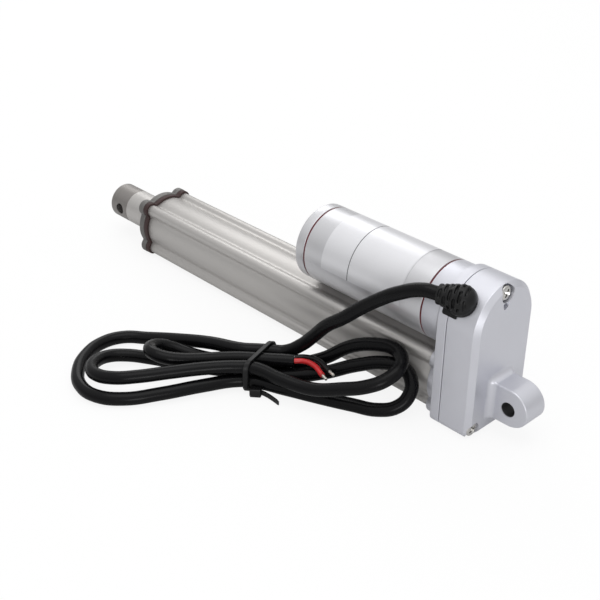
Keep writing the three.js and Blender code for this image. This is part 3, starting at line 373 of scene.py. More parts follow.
def soften(target, width, angle, sharp):
    """Rounds the target's sharp edges a little and shades it afresh."""
    step = target.modifiers.new("soften", "BEVEL")
    step.width = width * MM
    step.segments = 2
    step.limit_method = "ANGLE"
    step.angle_limit = math.radians(angle)
    bake(target)
    smooth(target, sharp, crisp=True)


def polar(radius, angle):
    return radius * math.cos(angle), radius * math.sin(angle)


def arc(cx, cy, radius, start, end, steps):
    """Points of an arc, both ends included."""
    spots = [polar(radius, start + (end - start) * i / steps) for i in range(steps + 1)]
    return [(cx + u, cy + v) for u, v in spots]


def circle(cx, cy, radius, steps):
    return arc(cx, cy, radius, 0, 2 * math.pi * (1 - 1 / steps), steps - 1)


def quarter_turn(steps):
    """Angles from 0 to a right angle."""
    return [math.pi / 2 * k / steps for k in range(steps + 1)]


def rectangle(left, right, bottom, top):
    return [(left, bottom), (right, bottom), (right, top), (left, top)]


def round_box(left, right, bottom, top, corner, steps):
    """Outline of a box with round corners, from its upper right corner on."""
    middles = ((right - corner, top - corner), (left + corner, top - corner),
               (left + corner, bottom + corner), (right - corner, bottom + corner))
    spots = []
    for k, middle in enumerate(middles):
        spots += arc(*middle, corner, k * math.pi / 2, (k + 1) * math.pi / 2, steps)
    return spots


def loft(rings, close_start=True, close_end=True):
    """Points and faces of a skin through rings of like points."""
    count = len(rings[0])
    points = [point for ring in rings for point in ring]
    faces = []
    for k in range(len(rings) - 1):
        for i in range(count):
            a, b = k * count + i, k * count + (i + 1) % count
            faces.append((a, b, b + count, a + count))
    if close_start:
        faces.append(tuple(reversed(range(count))))
    if close_end:
        faces.append(tuple(range((len(rings) - 1) * count, len(rings) * count)))
    return points, faces


def section(x, outline):
    """The ring of an outline of (y, z) at one station along X."""
    return [(x, y, z) for y, z in outline]


def rounded_ends(x0, x1, edge, steps=4):
    """Stations along X with the inset that rounds both ends of a prism."""
    stations = [(x0 + edge * (1 - math.cos(a)), edge * (1 - math.sin(a))) for a in quarter_turn(steps)]
    return stations + [(x0 + x1 - x, inset) for x, inset in reversed(stations)]


def prism(outline, stations):
    """Points and faces of a body along X: outline(inset) gives its section at each station."""
    return loft([section(x, outline(inset)) for x, inset in stations])


def wall(start, end, inner, outer):
    """The profile of a plain tube."""
    return [(start, inner), (start, outer), (end, outer), (end, inner)]


def turned(profile, y=0.0, z=0.0, segments=128):
    """Points and faces of a profile of (x, radius) turned round an axis along X."""
    points = []
    for k in range(segments):
        angle = 2 * math.pi * k / segments
        points += [(x, y + r * math.cos(angle), z + r * math.sin(angle)) for x, r in profile]
    count = len(profile)
    faces = []
    for k in range(segments):
        for i in range(count - 1):
            a, b = k * count + i, (k + 1) % segments * count + i
            faces.append((a, a + 1, b + 1, b))
    return points, faces


def along(profile, origin, direction, segments):
    """Points and faces of a profile of (distance, radius) turned round any direction."""
    turn = Vector((1, 0, 0)).rotation_difference(direction)
    points, faces = turned(profile, segments=segments)
    return [tuple(origin + turn @ Vector(point)) for point in points], faces


def rounded(profile, radius, steps=4):
    """The profile with a small curve in place of each corner between its ends.

    A corner that is nearly straight, or whose sides have no length, stays as it is.
    """
    spots = [profile[0]]
    for before, corner, after in zip(profile, profile[1:], profile[2:]):
        here = Vector(corner)
        back, ahead = Vector(before) - here, Vector(after) - here
        size = min(radius, back.length * 0.45, ahead.length * 0.45)
        if size < 1e-4 or back.angle(ahead) > math.radians(170):
            spots.append(corner)
            continue
        start, end = here + back.normalized() * size, here + ahead.normalized() * size
        for k in range(steps + 1):
            t = k / steps
            spots.append(tuple(start * (1 - t) ** 2 + here * 2 * t * (1 - t) + end * t * t))
    spots.append(profile[-1])
    return spots


def cutter(points, faces):
    """A solid that is only used to cut another; it isn't a piece."""
    made = mesh_object("cutter", points, faces)
    face_outwards(made.data, False)
    return made


def bar_cutter(outline, start, end):
    """A straight cutter along X."""
    return cutter(*loft([section(x, outline) for x in (start, end)]))


def drill(start, end, radius, end_radius, y, z, segments):
    """A round cutter along X, maybe tapered."""
    profile = [(start, 0), (start, radius), (end, end_radius), (end, 0)]
    return cutter(*turned(profile, y, z, segments))


def cross_drill(x, radius, half):
    """A round cutter across the part, for the pin through an eye."""
    spots = circle(x, 0, radius, 48)
    return cutter(*loft([[(px, y, pz) for px, pz in spots] for y in (-half, half)]))


# Outlines

HOUSING_HALF_WIDTH = 20.0
HOUSING_CORNER = 4.0
HOUSING_BEVEL = 2.4
HOUSING_SCREW_INSET = 4.4
TOP_SCREW_SHIFT = 1.1
TOP_POCKET_RADIUS = 4.2
LOW_POCKET_RADIUS = 3.5
POCKET_DEPTH = 3.8
LUG_HALF_WIDTH = 6.6
LUG_EDGE = 0.65
LUG_UNDERSIDE = 0.84
PIN_HOLE_RADIUS = 3.2
LUG_HOLE_RADIUS = PIN_HOLE_RADIUS + 0.35
PIN_DISTANCE = 280.0
TUBE_RADIUS = 15.2
EAR_CENTRE = 11.6
EAR_RADIUS = 3.2
EAR_FILLET = 2.0
TUBE_EAR_FILLET = 2.3
SKIRT_WALL = 1.8
SKIRT_LENGTH = 5.2
CAP_OVERHANG = 1.2
ROD_HOLE_RADIUS = 12.4
ROD_RADIUS = 10.0

EAR_SPOTS = rectangle(EAR_CENTRE, -EAR_CENTRE, EAR_CENTRE, -EAR_CENTRE)
SCREW_SIDE = HOUSING_HALF_WIDTH - HOUSING_SCREW_INSET
SCREW_LOW = HOUSING_SCREW_INSET - BASE_DROP
SCREW_TOP = ARCH_Z + HOUSING_HALF_WIDTH - HOUSING_SCREW_INSET
HOUSING_SCREWS = [
    (TOP_SCREW_SHIFT, SCREW_TOP, TOP_POCKET_RADIUS),
    (SCREW_SIDE, SCREW_LOW, LOW_POCKET_RADIUS),
    (-SCREW_SIDE, SCREW_LOW, LOW_POCKET_RADIUS),
]


def housing_outline(inset):
    """Arch a little above the motor's axis over a flat base with round corners."""
    width = HOUSING_HALF_WIDTH - inset
    bottom = inset - BASE_DROP
    corner = max(HOUSING_CORNER - inset, 1.0)
    return (
        arc(0, ARCH_Z, width, 0, math.pi, 64)
        + arc(corner - width, bottom + corner, corner, math.pi, 1.5 * math.pi, 10)
        + arc(width - corner, bottom + corner, corner, 1.5 * math.pi, 2 * math.pi, 10)
    )


def tube_outline(offset, blend=EAR_FILLET):
    """Round body with four screw ears at 45 degrees, blended with concave fillets."""
    body = TUBE_RADIUS + offset
    ear = EAR_RADIUS + offset
    fillet = max(blend - offset, 0.5)
    distance = EAR_CENTRE * math.sqrt(2)
    across, near = body + fillet, ear + fillet
    swing = math.acos((distance**2 + across**2 - near**2) / (2 * distance * across))
    tilt = math.atan2(across * math.sin(swing), across * math.cos(swing) - distance)
    back = math.pi
    spots = []
    for k in range(4):
        middle = (k + 0.5) * math.pi / 2
        before, after = polar(across, middle - swing), polar(across, middle + swing)
        spots += arc(*before, fillet, middle - swing + back, middle - tilt + back, 6)
        spots += arc(*polar(distance, middle), ear, middle - tilt, middle + tilt, 20)[1:-1]
        spots += arc(*after, fillet, middle + tilt + back, middle + swing + back, 6)
        spots += arc(0, 0, body, middle + swing, middle + math.pi / 2 - swing, 20)[1:-1]
    return spots


# Cable route: the same points and the same formula as the part's own source, in millimetres

CABLE_RADIUS = 3.25
JOINT_GAP = 0.3
TIE_WIDTH = 3.6
TIE_THICKNESS = 1.2
STRAND_PITCH = 7.7
TIE_SPOT = (112.3, 58.1)
LOOP_STEPS = 28
JACKET_REACH = 22.0
JACKET_STEPS = 4
BOOT_X = 22.5
BOOT_ANGLE = math.radians(40.4)
BOOT_RISE = math.radians(14)
BOOT_TURN = math.radians(12)
BOOT_LENGTH = 10.6
BOOT_DOME_HEIGHT = 1.6
BOOT_DOME_FLATNESS = 0.5
BOOT_DOME_RADIUS = 6.9

BOOT_OUT = Vector((0, math.cos(BOOT_ANGLE), math.sin(BOOT_ANGLE)))
BOOT_AROUND = Vector((0, math.sin(BOOT_ANGLE), -math.cos(BOOT_ANGLE)))
BOOT_AXIS = (
    Vector((math.cos(BOOT_RISE), 0, 0)) + BOOT_OUT * math.sin(BOOT_RISE) + BOOT_AROUND * math.tan(BOOT_TURN)
).normalized()
BOOT_FOOT = Vector((BOOT_X, 0, ARCH_Z))
BOOT_CENTRE = BOOT_FOOT + BOOT_OUT * (HOUSING_HALF_WIDTH + BOOT_DOME_HEIGHT)
BOOT_TIP = BOOT_CENTRE + BOOT_AXIS * BOOT_LENGTH

THROUGH = Vector((0.756, 0.654, 0)).normalized()
ACROSS = Vector((-THROUGH.y, THROUGH.x, 0))
CABLE_FLOOR = CABLE_RADIUS - BASE_DROP
STRAND_LOW = CABLE_FLOOR + TIE_THICKNESS + JOINT_GAP + 0.2

# Each lobe's reach, spread, fullness, heading, lean, lift and sink
LOBES = [
    (82.6, 25.0, 0.42, 40.1, 0.2, 0.1, 0.59),
    (78.2, 13.5, 1.38, 211.0, 57.3, 9.9, 0.59),
    (74.6, 15.9, 0.94, 42.3, 10.6, 4.3, 1.03),
    (73.7, 10.2, 0.54, 208.1, 25.2, 22.4, 0.66),
    (48.0, 10.8, 1.37, 40.7, 22.2, 9.7, 0.89),
]
PASSES = [(-1, 1), (1, 0), (0, 0), (1, 1), (-1, 0), (0, 1)]

LEAD_POINTS = [
    Vector((51, 25.5, 44.6)),
    Vector((59, 27, 38.9)),
    Vector((67.5, 29, 31.8)),
    Vector((75.5, 32, 24.2)),
    Vector((84.5, 34, 16.6)),
    Vector((91, 35.6, 8.8)),
    Vector((97.4, 37.8, 1.6)),
]


def strand(column, layer):
    middle = Vector((*TIE_SPOT, STRAND_LOW + layer * STRAND_PITCH))
    return middle + ACROSS * column * STRAND_PITCH


def lobe(start, end, shape, steps):
    """One lobe of the hank: out along its heading, round and back, leaning and lifting."""
    distance, spread, fullness, heading, lean, lift, sink = shape
    heading, lean = math.radians(heading), math.radians(lean)
    out = Vector((*polar(1, heading), 0))
    sideways = Vector((-out.y, out.x, 0)) * math.cos(lean) + UP * math.sin(lean)
    points = []
    for k in range(1, steps):
        t = k / steps
        wave = math.sin(math.pi * t)
        share = (1 - math.cos(math.pi * t)) / 2
        point = start.lerp(end, share)
        point += out * distance * wave
        point -= sideways * spread * math.sin(2 * math.pi * t) * wave ** fullness
        settle = min(1, wave / sink) ** 2
        level = start.z + (end.z - start.z) * share
        point.z += (CABLE_FLOOR + lift * wave - level) * settle
        points.append(point)
    return points


def hank_points():
    """Centre line of the tied hank: six strands through the tie and five lobes."""
    strands = [strand(*spot) for spot in PASSES]
    entry = 3 * CABLE_RADIUS
    points = [strands[0] - THROUGH * entry]
    for i, spot in enumerate(strands):
        way = 1 if i % 2 == 0 else -1
        points += [spot - THROUGH * TIE_WIDTH * way, spot + THROUGH * TIE_WIDTH * way]
        if i < len(LOBES):
            points += lobe(spot, strands[i + 1], LOBES[i], LOOP_STEPS // 2 - 1)
    for k in range(1, JACKET_STEPS + 1):
        points.append(strands[-1] - THROUGH * (TIE_WIDTH + (JACKET_REACH - TIE_WIDTH) * k / JACKET_STEPS))
    return points


def cable_points():
    """Centre line of the whole cable, from the strain relief's tip to the end of its jacket."""
    start = BOOT_TIP + BOOT_AXIS * JOINT_GAP
    hank = hank_points()
    straight = hank[0] - THROUGH * (JOINT_GAP + 2 * CABLE_RADIUS)
    return [start, start + BOOT_AXIS * 2 * CABLE_RADIUS, *LEAD_POINTS, straight, *hank]


WIRE_RADIUS = 1.3
WIRE_TIP_RADIUS = 0.8
WIRE_TIP_LENGTH = 4.0
STRAP_WIDTH = 2.6
STRAP_THICKNESS = 1.0
STRAP_SHIFT = -5.6
STRAP_SKEW = 0.45


def by_tie(across, up, through):
    """A place beside the tie's spot, counted from the level of the rod's axis."""
    return tuple(Vector((*TIE_SPOT, 0)) + ACROSS * across + UP * up + THROUGH * through)


def smooth_curve(name, points, radius, finish, slot, *nodes, resolution=6, sides=6):
    """A round tube along one smooth open spline."""
    data = bpy.data.curves.new(name, "CURVE")
    data.dimensions = "3D"
    data.resolution_u = resolution
    data.bevel_depth = radius * MM
    data.bevel_resolution = sides
    data.use_fill_caps = True
    spline = data.splines.new("BEZIER")
    spline.bezier_points.add(len(points) - 1)
    for knot, point in zip(spline.bezier_points, points):
        knot.co = at(*point)
        knot.handle_left_type = knot.handle_right_type = "AUTO"
    return dress(link(name, data), finish, nodes)


def spline_length(made):
    """Length of the curve's centre line in metres, along its smooth spline."""
    data = made.data.copy()
    data.bevel_depth = 0
    bare = link("bare", data)
    bpy.context.view_layer.update()
    line = bare.evaluated_get(bpy.context.evaluated_depsgraph_get()).to_mesh()
    places = [vertex.co for vertex in line.vertices]
    total = sum((places[a] - places[b]).length for a, b in (edge.vertices for edge in line.edges))
    bpy.data.objects.remove(bare)
    return total


def wire_path(side, drift, length, rise):
    """Four points of a wire that leaves the jacket's end, rises and bends to one side."""
    start = hank_points()[-1] - THROUGH * JOINT_GAP + ACROSS * side + UP * CABLE_RADIUS / 3
    steps = ((0, 0, 0), (0.3, 0.2, 0), (0.65, 0.8, 0.3), (1, 1, 1))
    return [start - THROUGH * length * u + UP * rise * v + ACROSS * drift * w for u, v, w in steps]


WIRES = {
    "red": wire_path(side=1.6, drift=12, length=14, rise=1),
    "black": wire_path(side=-1.6, drift=13, length=17, rise=2),
}


# Sizes, colours and studio


def colour_property(name, description, default):
    return bpy.props.FloatVectorProperty(
        name=name, description=description, default=default, subtype="COLOR", size=3, min=0.0, max=1.0
    )


def number_property(name, description, default, **kind):
    return bpy.props.FloatProperty(name=name, description=description, default=default, **kind)


def length_property(name, description, default):
    return number_property(name, description, default, unit="LENGTH", min=0.0)


def angle_property(name, description, degrees):
    return number_property(name, description, math.radians(degrees), subtype="ANGLE", unit="ROTATION")


def power_property(name, description, default):
    return number_property(name, description, default, unit="POWER")


class ActuatorColours(bpy.types.PropertyGroup):
    cast_aluminium: colour_property("Cast aluminium", "Gear housing and motor cap", (0.66, 0.665, 0.715))
    extruded_aluminium: colour_property("Extruded aluminium", "Tube", (0.52, 0.505, 0.49))
    motor_shell: colour_property("Motor shell", "Turned aluminium of the motor", (0.63, 0.63, 0.65))
    label: colour_property("Label", "Blank foil label on the motor", (0.74, 0.74, 0.765))
    rod: colour_property("Rod", "Sliding rod", (0.54, 0.525, 0.51))
    rod_end: colour_property("Rod end", "Turned steel eye", (0.27, 0.255, 0.245))
    front_cap: colour_property("Front cap", "Dark cast cap", (0.17, 0.165, 0.16))
    gasket: colour_property("Gasket", "Rubber between cap and tube", (0.045, 0.025, 0.024))
    seal_ring: colour_property("Seal ring", "Rings at both ends of the motor", (0.11, 0.014, 0.02))
    cable: colour_property("Cable", "Cable jacket and strain relief", (0.0035, 0.0035, 0.004))
    red_wire: colour_property("Red wire", "Insulation of one wire", (0.5, 0.02, 0.022))
    floor: colour_property("Floor", "Floor and backdrop", (0.6, 0.6, 0.6))


class ActuatorSizes(bpy.types.PropertyGroup):
    ring_width: length_property("Ring width", "Width of a seal ring that shows", 0.0009)
    ring_sink: length_property("Ring sink", "How far a seal ring lies under the shell", 0.00005)
    label_thickness: length_property("Label thickness", "Thickness of the foil", 0.00012)
    rule_width: length_property("Rule width", "Width of the thin rule on the label", 0.0004)


class ActuatorStudio(bpy.types.PropertyGroup):
    azimuth: angle_property("Azimuth", "Direction that the camera looks from", 228.17)
    elevation: angle_property("Elevation", "Angle of the camera above the floor", 30.63)
    roll: angle_property("Roll", "Tilt of the camera", -0.78)
    distance: length_property("Distance", "From the camera to its target", 0.6157)
    focal: number_property("Focal length", "For a frame 36 mm wide", 67.72, unit="CAMERA")
    centre: bpy.props.FloatVectorProperty(
        name="Centre", description="Place of the optical axis in a picture 600 pixels wide", size=2,
        default=(257.2, 303.8))
    target: bpy.props.FloatVectorProperty(
        name="Target", description="Point that the camera is aimed at", size=3,
        default=(0.03065, 0.0, -0.0058), subtype="TRANSLATION", unit="LENGTH")
    key: power_property("Key", "Power of the large lamp overhead", 3.0)
    fill: power_property("Fill", "Power of the lamp near the camera", 2.2)
    rim: power_property("Rim", "Power of the lamp beyond the actuator", 1.4)
    sky: number_property("Sky", "Brightness of the room overhead", 0.95)
    horizon: number_property("Horizon", "Brightness of the room at the sides", 0.38)


# Pieces


class ACTUATOR_OT_cable(bpy.types.Operator):
    """Cable from the strain relief into its tied hank, with two bare wires at its end"""

    bl_idname = "actuator.cable"
    bl_label = "Cable"

    def execute(self, context):
        cable = smooth_curve(
            "cable", cable_points(), CABLE_RADIUS, "cable", "black_rubber", "cord_lead", "cord_hank")
        others = [self.wire(colour, path) for colour, path in WIRES.items()]
        others += [self.tip(colour, path) for colour, path in WIRES.items()]
        others.append(self.tie())
        others += [bpy.data.objects[name] for name in ("boot_sleeve", "boot_dome", "boot_pad")]
        tuple(at(*cable_points()[0]))
        spline_length(cable)
        return {"FINISHED"}

    def wire(self, name, path):
        slot, node = f"{name}_plastic", f"{name}_wire"
        return smooth_curve(f"wire_{name}", path, WIRE_RADIUS, name, slot, node, resolution=12, sides=4)

    def tip(self, name, path):
        """Tinned strands: a slim bundle with a slight twist and a cut end."""
        direction = (path[-1] - path[-2]).normalized()
        strands, sides, turns, groove = 7, 8, 0.4, 0.12
        length, radius = WIRE_TIP_LENGTH, WIRE_TIP_RADIUS
        profile = [(0, 0), (0, radius), (length, radius * 0.9), (length, 0)]
        points, faces = along(rounded(profile, 0.15), path[-1] + direction * 0.05, direction, strands * sides)
        side = direction.cross(UP).normalized()
        other = direction.cross(side)
        shaped = []
        for point in points:
            offset = Vector(point) - path[-1]
            far = offset.dot(direction)
            angle = math.atan2(offset.dot(other), offset.dot(side))
            swell = 1 - groove * abs(math.sin((angle + turns * far) * strands / 2))
            flat = offset - direction * far
            shaped.append(tuple(path[-1] + direction * far + flat * swell))
        return piece(f"wire_tip_{name}", (shaped, faces), "tinned", "tinned", f"{name}_wire_tip", sharp=60)

    def tie(self):
        """Strap round the strands, a little askew, with its head and its tail on the near side."""
        wide = STRAND_PITCH + CABLE_RADIUS + JOINT_GAP
        low = STRAND_LOW - CABLE_RADIUS - JOINT_GAP
        high = STRAND_LOW + STRAND_PITCH + CABLE_RADIUS + JOINT_GAP
        thick, half, inner, edge = STRAP_THICKNESS, STRAP_WIDTH / 2, 0.05, 0.3
        profile = [(inner, -half + edge), (inner, half - edge), (edge, half), (thick - edge, half),
                   (thick, half - edge), (thick, -half + edge), (thick - edge, -half), (edge, -half)]
        loops = []
        for grow, through in profile:
            corner = CABLE_RADIUS + grow
            loop = round_box(-wide - grow, wide + grow, low - grow, high + grow, corner, 8)
            loops.append([by_tie(u, v, through + STRAP_SHIFT + STRAP_SKEW * u) for u, v in loop])
        rings = [list(ring) for ring in zip(*loops)]
        points, faces = loft(rings + rings[:1], False, False)
        head_out, head_up = 1.2, 1.6
        near, level = wide + thick + head_out, low + head_up
        for extra_points, extra_faces in (self.tie_head(near, level), self.tie_tail(near, level)):
            base = len(points)
            points = points + extra_points
            faces = faces + [tuple(base + i for i in face) for face in extra_faces]
        return piece("cable_tie_band", (points, faces), "tie", "black_plastic", "cable_tie", sharp=40)

    def tie_head(self, near, level):
        """Small rounded block beside the strands, where the strap locks."""
        middle, length, half_height, half_depth = -5.2, 5.6, 2.1, 1.9
        rings = []
        for t, grow in ((0, -0.5), (0.08, 0), (0.92, 0), (1, -0.5)):
            tall, deep = half_height + grow, half_depth + grow
            block = round_box(-deep, deep, -tall, tall, 0.5, 3)
            rings.append([by_tie(near + u, level + v, middle + length * (0.5 - t)) for u, v in block])
        return loft(rings)

    def tie_tail(self, near, level):
        """Free end of the strap, drooping to the floor beyond the head."""
        start, length, drop, swing, slope = -7.6, 9.2, 1.7, 5.0, 0.8
        half_thick, half_wide, half_tip, steps = 0.5, 1.15, 0.7, 10
        rings = []
        for k in range(steps + 1):
            t = k / steps
            u, w = near + swing * t * t + slope * t, start - length * t
            v = level - drop * math.sin(math.pi / 2 * t)
            half = half_wide if k < steps else half_tip
            strip = rectangle(-half_thick, half_thick, -half, half)
            rings.append([by_tie(u + du, v + dv, w) for du, dv in strip])
        return loft(rings)


class ACTUATOR_OT_strain_relief(bpy.types.Operator):
    """Rubber strain relief: pad and dome on the housing, and a slotted sleeve round the cable"""

    bl_idname = "actuator.strain_relief"
    bl_label = "Strain Relief"

    def execute(self, context):
        self.sleeve()
        self.dome()
        self.pad()
        return {"FINISHED"}

    def sleeve(self):
        """Tapering sleeve with a round end; staggered rows of slots leave ribs that short bridges join."""
        side = BOOT_AXIS.cross(UP).normalized()
        other = BOOT_AXIS.cross(side)
        rows, columns, round_rows = 120, 168, 4
        slot_rows, slots = 6, 5
        root, tip, depth_root, depth_tip = 6.7, 4.35, 1.4, 1.0
        first, pitch, bridge, slot_share, steepness = -2.9, 2.35, 0.37, 0.31, 2.2
        rib, tip_rounding = 0.12, 0.14
        start, end = -root, BOOT_LENGTH + 0.35
        rings = []
        for i in range(rows + 1):
            place = start + (end - start) * i / rows
            t = max(0, place / BOOT_LENGTH)
            outer = root + (tip - root) * t
            if place < 0:
                outer = math.sqrt(max(0.04, root * root - place * place))
            ring = []
            for k in range(columns):
                angle = 2 * math.pi * k / columns
                depth = 0
                for row in range(slot_rows):
                    off = (place - first - pitch * row) / (slot_share * pitch)
                    turn = ((slots * k / columns + 0.5 * (row % 2)) % 1 - 0.5) / bridge
                    depth = max(depth, min(1, max(0, steepness * (1 - off ** 4 - turn ** 4))))
                swell = rib * math.cos(2 * math.pi * (place - first) / pitch) if t else 0
                sunk = (depth_root + (depth_tip - depth_root) * t) * depth * depth * (3 - 2 * depth)
                radius = outer - swell - sunk * min(1, outer / root)
                if i > rows - round_rows:
                    radius -= tip_rounding * (i - rows + round_rows) ** 1.5
                spot = BOOT_CENTRE + BOOT_AXIS * place + side * radius * math.cos(angle)
                ring.append(tuple(spot + other * radius * math.sin(angle)))
            rings.append(ring)
        return piece("boot_sleeve", loft(rings), "boot", "black_rubber", "strain_relief", sharp=75)

    def dome(self):
        """Round knuckle that covers the hole and turns the cable along the motor."""
        arch, radius, sunk, edge, rim = HOUSING_HALF_WIDTH, BOOT_DOME_RADIUS, 0.5, 0.2, 0.7
        crown = arch + BOOT_DOME_HEIGHT
        out = Vector((0, *polar(1, BOOT_ANGLE - math.radians(1.8))))
        profile = [(arch - sunk, 0), (arch - sunk, radius - edge), (arch, radius),
                   (arch + rim, radius), (arch + rim + edge, radius - edge)]
        for turn in quarter_turn(12):
            far = crown + (radius - 0.6) * BOOT_DOME_FLATNESS * math.sin(turn)
            profile.append((far, (radius - 0.25) * math.cos(turn) ** 0.85))
        profile[-1] = (profile[-1][0], 0)
        return piece("boot_dome", along(profile, BOOT_FOOT, out, 96), "boot", "black_rubber", sharp=50)

    def pad(self):
        """Pad with rounded corners that follows the housing's arch under the sleeve."""
        middle, half_angle, length, corner = math.radians(35.6), math.radians(20), 7.4, 1.0
        rings = []
        for rise, inset in ((-0.4, 0.0), (0.7, 0.0), (0.9, 0.07), (1.05, 0.22), (1.1, 0.45)):
            radius = HOUSING_HALF_WIDTH + rise
            wide = HOUSING_HALF_WIDTH * half_angle - inset
            x0, x1 = BOOT_X + inset, BOOT_X + length - inset
            outline = (
                arc(x1 - corner, wide - corner, corner, 0, math.pi / 2, 6)
                + [(x0, wide), (x0, wide * 0.5), (x0, 0), (x0, -wide * 0.5), (x0, -wide)]
                + arc(x1 - corner, corner - wide, corner, 1.5 * math.pi, 2 * math.pi, 6)
                + [(x1, -wide * 0.5), (x1, 0), (x1, wide * 0.5)]
            )
            ring = []
            for x, arc_length in outline:
                angle = middle + arc_length / HOUSING_HALF_WIDTH
                ring.append((x, radius * math.cos(angle), ARCH_Z + radius * math.sin(angle)))
            rings.append(ring)
        return piece("boot_pad", loft(rings), "boot", "black_rubber", sharp=40)


class ACTUATOR_OT_gear_housing(bpy.types.Operator):
    """Cast gear housing with its lug, screw pockets, flange and motor collar"""

    bl_idname = "actuator.gear_housing"
    bl_label = "Gear Housing"

    def execute(self, context):
        self.rear_shell()
        self.lug()
        self.painted_bore_shade()
        self.lug_root()
        self.front_plate(context.scene.actuator_sizes.ring_width / MM)
        self.screws()
        return {"FINISHED"}

    def rear_shell(self):
        """Bevelled rear half: a soft chamfer round its face and pockets for the screws."""
        soft, share, eighth = 0.5, 0.4, math.pi / 4
        bend = [eighth * k / 3 for k in range(4)]
        face, side = [], []
        for a in bend:
            before, after = soft * (share - math.sin(a)), soft * (math.sin(a) - share)
            face.append((REAR_FACE + soft * (1 - math.cos(a)), HOUSING_BEVEL + before))
            side.append((REAR_FACE + HOUSING_BEVEL + after, soft * (1 - math.cos(eighth - a))))
        stations = face + side + [(SPLIT_X - 0.35, 0.0), (SPLIT_X - 0.1, 0.08), (SPLIT_X, 0.3)]
        shell = piece("housing_rear", prism(housing_outline, stations), "cast", "housing", "rear_housing")
        start, end = REAR_FACE - 1, REAR_FACE + POCKET_DEPTH
        channel_length = 12
        tools = []
        for y, z, radius in HOUSING_SCREWS:
            tools.append(drill(start, end, radius, radius, y, z, 48))
            if z < 0:
                half = 0.92 * radius
                channel = rectangle(y - half, y + half, z, z - channel_length)
                tools.append(bar_cutter(channel, start, end))
        # A shallow tail runs from the top pocket down to a small round mark
        y, z, radius = HOUSING_SCREWS[0]
        mark_y, mark_z, mark_radius, mark_depth, tail_depth = y + 0.8, z - 5.7, 1.55, 3, 0.4
        half, low, tip = 0.85 * radius, z - 0.4 * radius, 1.5
        tail = [(y - half, low), (y + half, low), (mark_y + tip, mark_z), (mark_y - tip, mark_z)]
        tools.append(bar_cutter(tail, start, REAR_FACE + tail_depth))
        end = REAR_FACE + mark_depth
        tools.append(drill(start, end, mark_radius, mark_radius - 0.15, mark_y, mark_z, 24))
        cut(shell, *tools)
        soften(shell, width=0.25, angle=50, sharp=38)

    def lug(self):
        """Rear eye: a rounded tongue with a flattened underside and a cross hole."""
        outline = arc(0, 0, LUG_RADIUS, math.pi / 2, 1.5 * math.pi, 40)
        outline = [(REAR_FACE + 1, LUG_RADIUS), *outline, (REAR_FACE + 1, -LUG_RADIUS)]
        outline = [(x, z if z > 0 else z * LUG_UNDERSIDE) for x, z in outline]
        rims = rounded_ends(-LUG_HALF_WIDTH, LUG_HALF_WIDTH, LUG_EDGE, 5)
        rings = []
        for y, inset in rims:
            scale = (LUG_RADIUS - inset) / LUG_RADIUS
            rings.append([(x * scale if x < 0 else x, y, z * scale) for x, z in outline])
        tongue = piece("housing_lug", loft(rings), "cast", "housing")
        cut(tongue, cross_drill(0, LUG_HOLE_RADIUS, LUG_HALF_WIDTH + 1))
        soften(tongue, width=0.3, angle=60, sharp=40)

    def painted_bore_shade(self):
        """Painted shade: a thin dark grey lining of the lug's cross hole, standing in for the shade inside
        it.
        """
        half, outer, inner = LUG_HALF_WIDTH - 0.35, 3.56, 3.35
        rings = []
        for y, radius in ((-half, outer), (-half, inner), (half, inner), (half, outer), (-half, outer)):
            rings.append([(x, y, z) for x, z in circle(0, 0, radius, 48)])
        piece("housing_lug_bore", loft(rings, False, False), "painted_bore_shade", "housing", sharp=40)

    def lug_root(self):
        """Flare from the tongue into the housing's face."""
        flare, sink, overlap, rounding = 3.8, 0.03, 0.05, 1.2
        rings = []
        for angle in quarter_turn(12):
            grow = flare * (1 - math.sin(angle)) - sink
            half, tall = LUG_HALF_WIDTH + grow, LUG_RADIUS + grow
            bottom = LUG_RADIUS * (1 - LUG_UNDERSIDE) - tall
            outline = round_box(-half, half, bottom, tall, LUG_EDGE + rounding * max(grow, 0), 5)
            rings.append(section(REAR_FACE - flare * (1 - math.cos(angle)) + overlap, outline))
        piece("housing_lug_root", loft(rings, False, False), "cast", "housing", sharp=60)

    def front_plate(self, ring_width):
        """Flange with the collar that carries the motor and the short skirt round the tube."""
        skin = prism(housing_outline, rounded_ends(FLANGE_X, FLANGE_FRONT, 0.35))
        plate = piece("housing_flange", skin, "cast", "housing", "front_housing")
        smooth(plate, 38, crisp=True)
        start, end, inner = FLANGE_FRONT - 0.5, FRONT_RING_X - ring_width / 2, MOTOR_RADIUS - 2
        profile = [(start, inner), (start, MOTOR_RADIUS + 0.7), (FLANGE_FRONT + 0.9, MOTOR_RADIUS),
                   (end, MOTOR_RADIUS), (end, inner)]
        piece("motor_collar", turned(rounded(profile, 0.3), 0, MOTOR_Z), "cast", "housing")
        skirt_end = FLANGE_FRONT + SKIRT_LENGTH
        rings = []
        for x, inset in rounded_ends(FLANGE_FRONT - 1, skirt_end, 0.4):
            outline = tube_outline(SKIRT_WALL - inset)
            rings.append([(x, y, max(z, inset - BASE_DROP)) for y, z in outline])
        rings += [section(x, tube_outline(0.1)) for x in (skirt_end, FLANGE_FRONT)]
        piece("tube_skirt", loft(rings, True, False), "cast", "housing")

    def screws(self):
        """Pan-head screws with cross recesses at the bottom of the housing's pockets."""
        for i, (y, z, _) in enumerate(HOUSING_SCREWS):
            node, spot = f"housing_screw_{i + 1}", (REAR_FACE + POCKET_DEPTH - 0.1, y, z)
            screw_head(node, "screw", spot, radius=3.45, height=-3.0, rim=0.72, turn=25 + 40 * i)


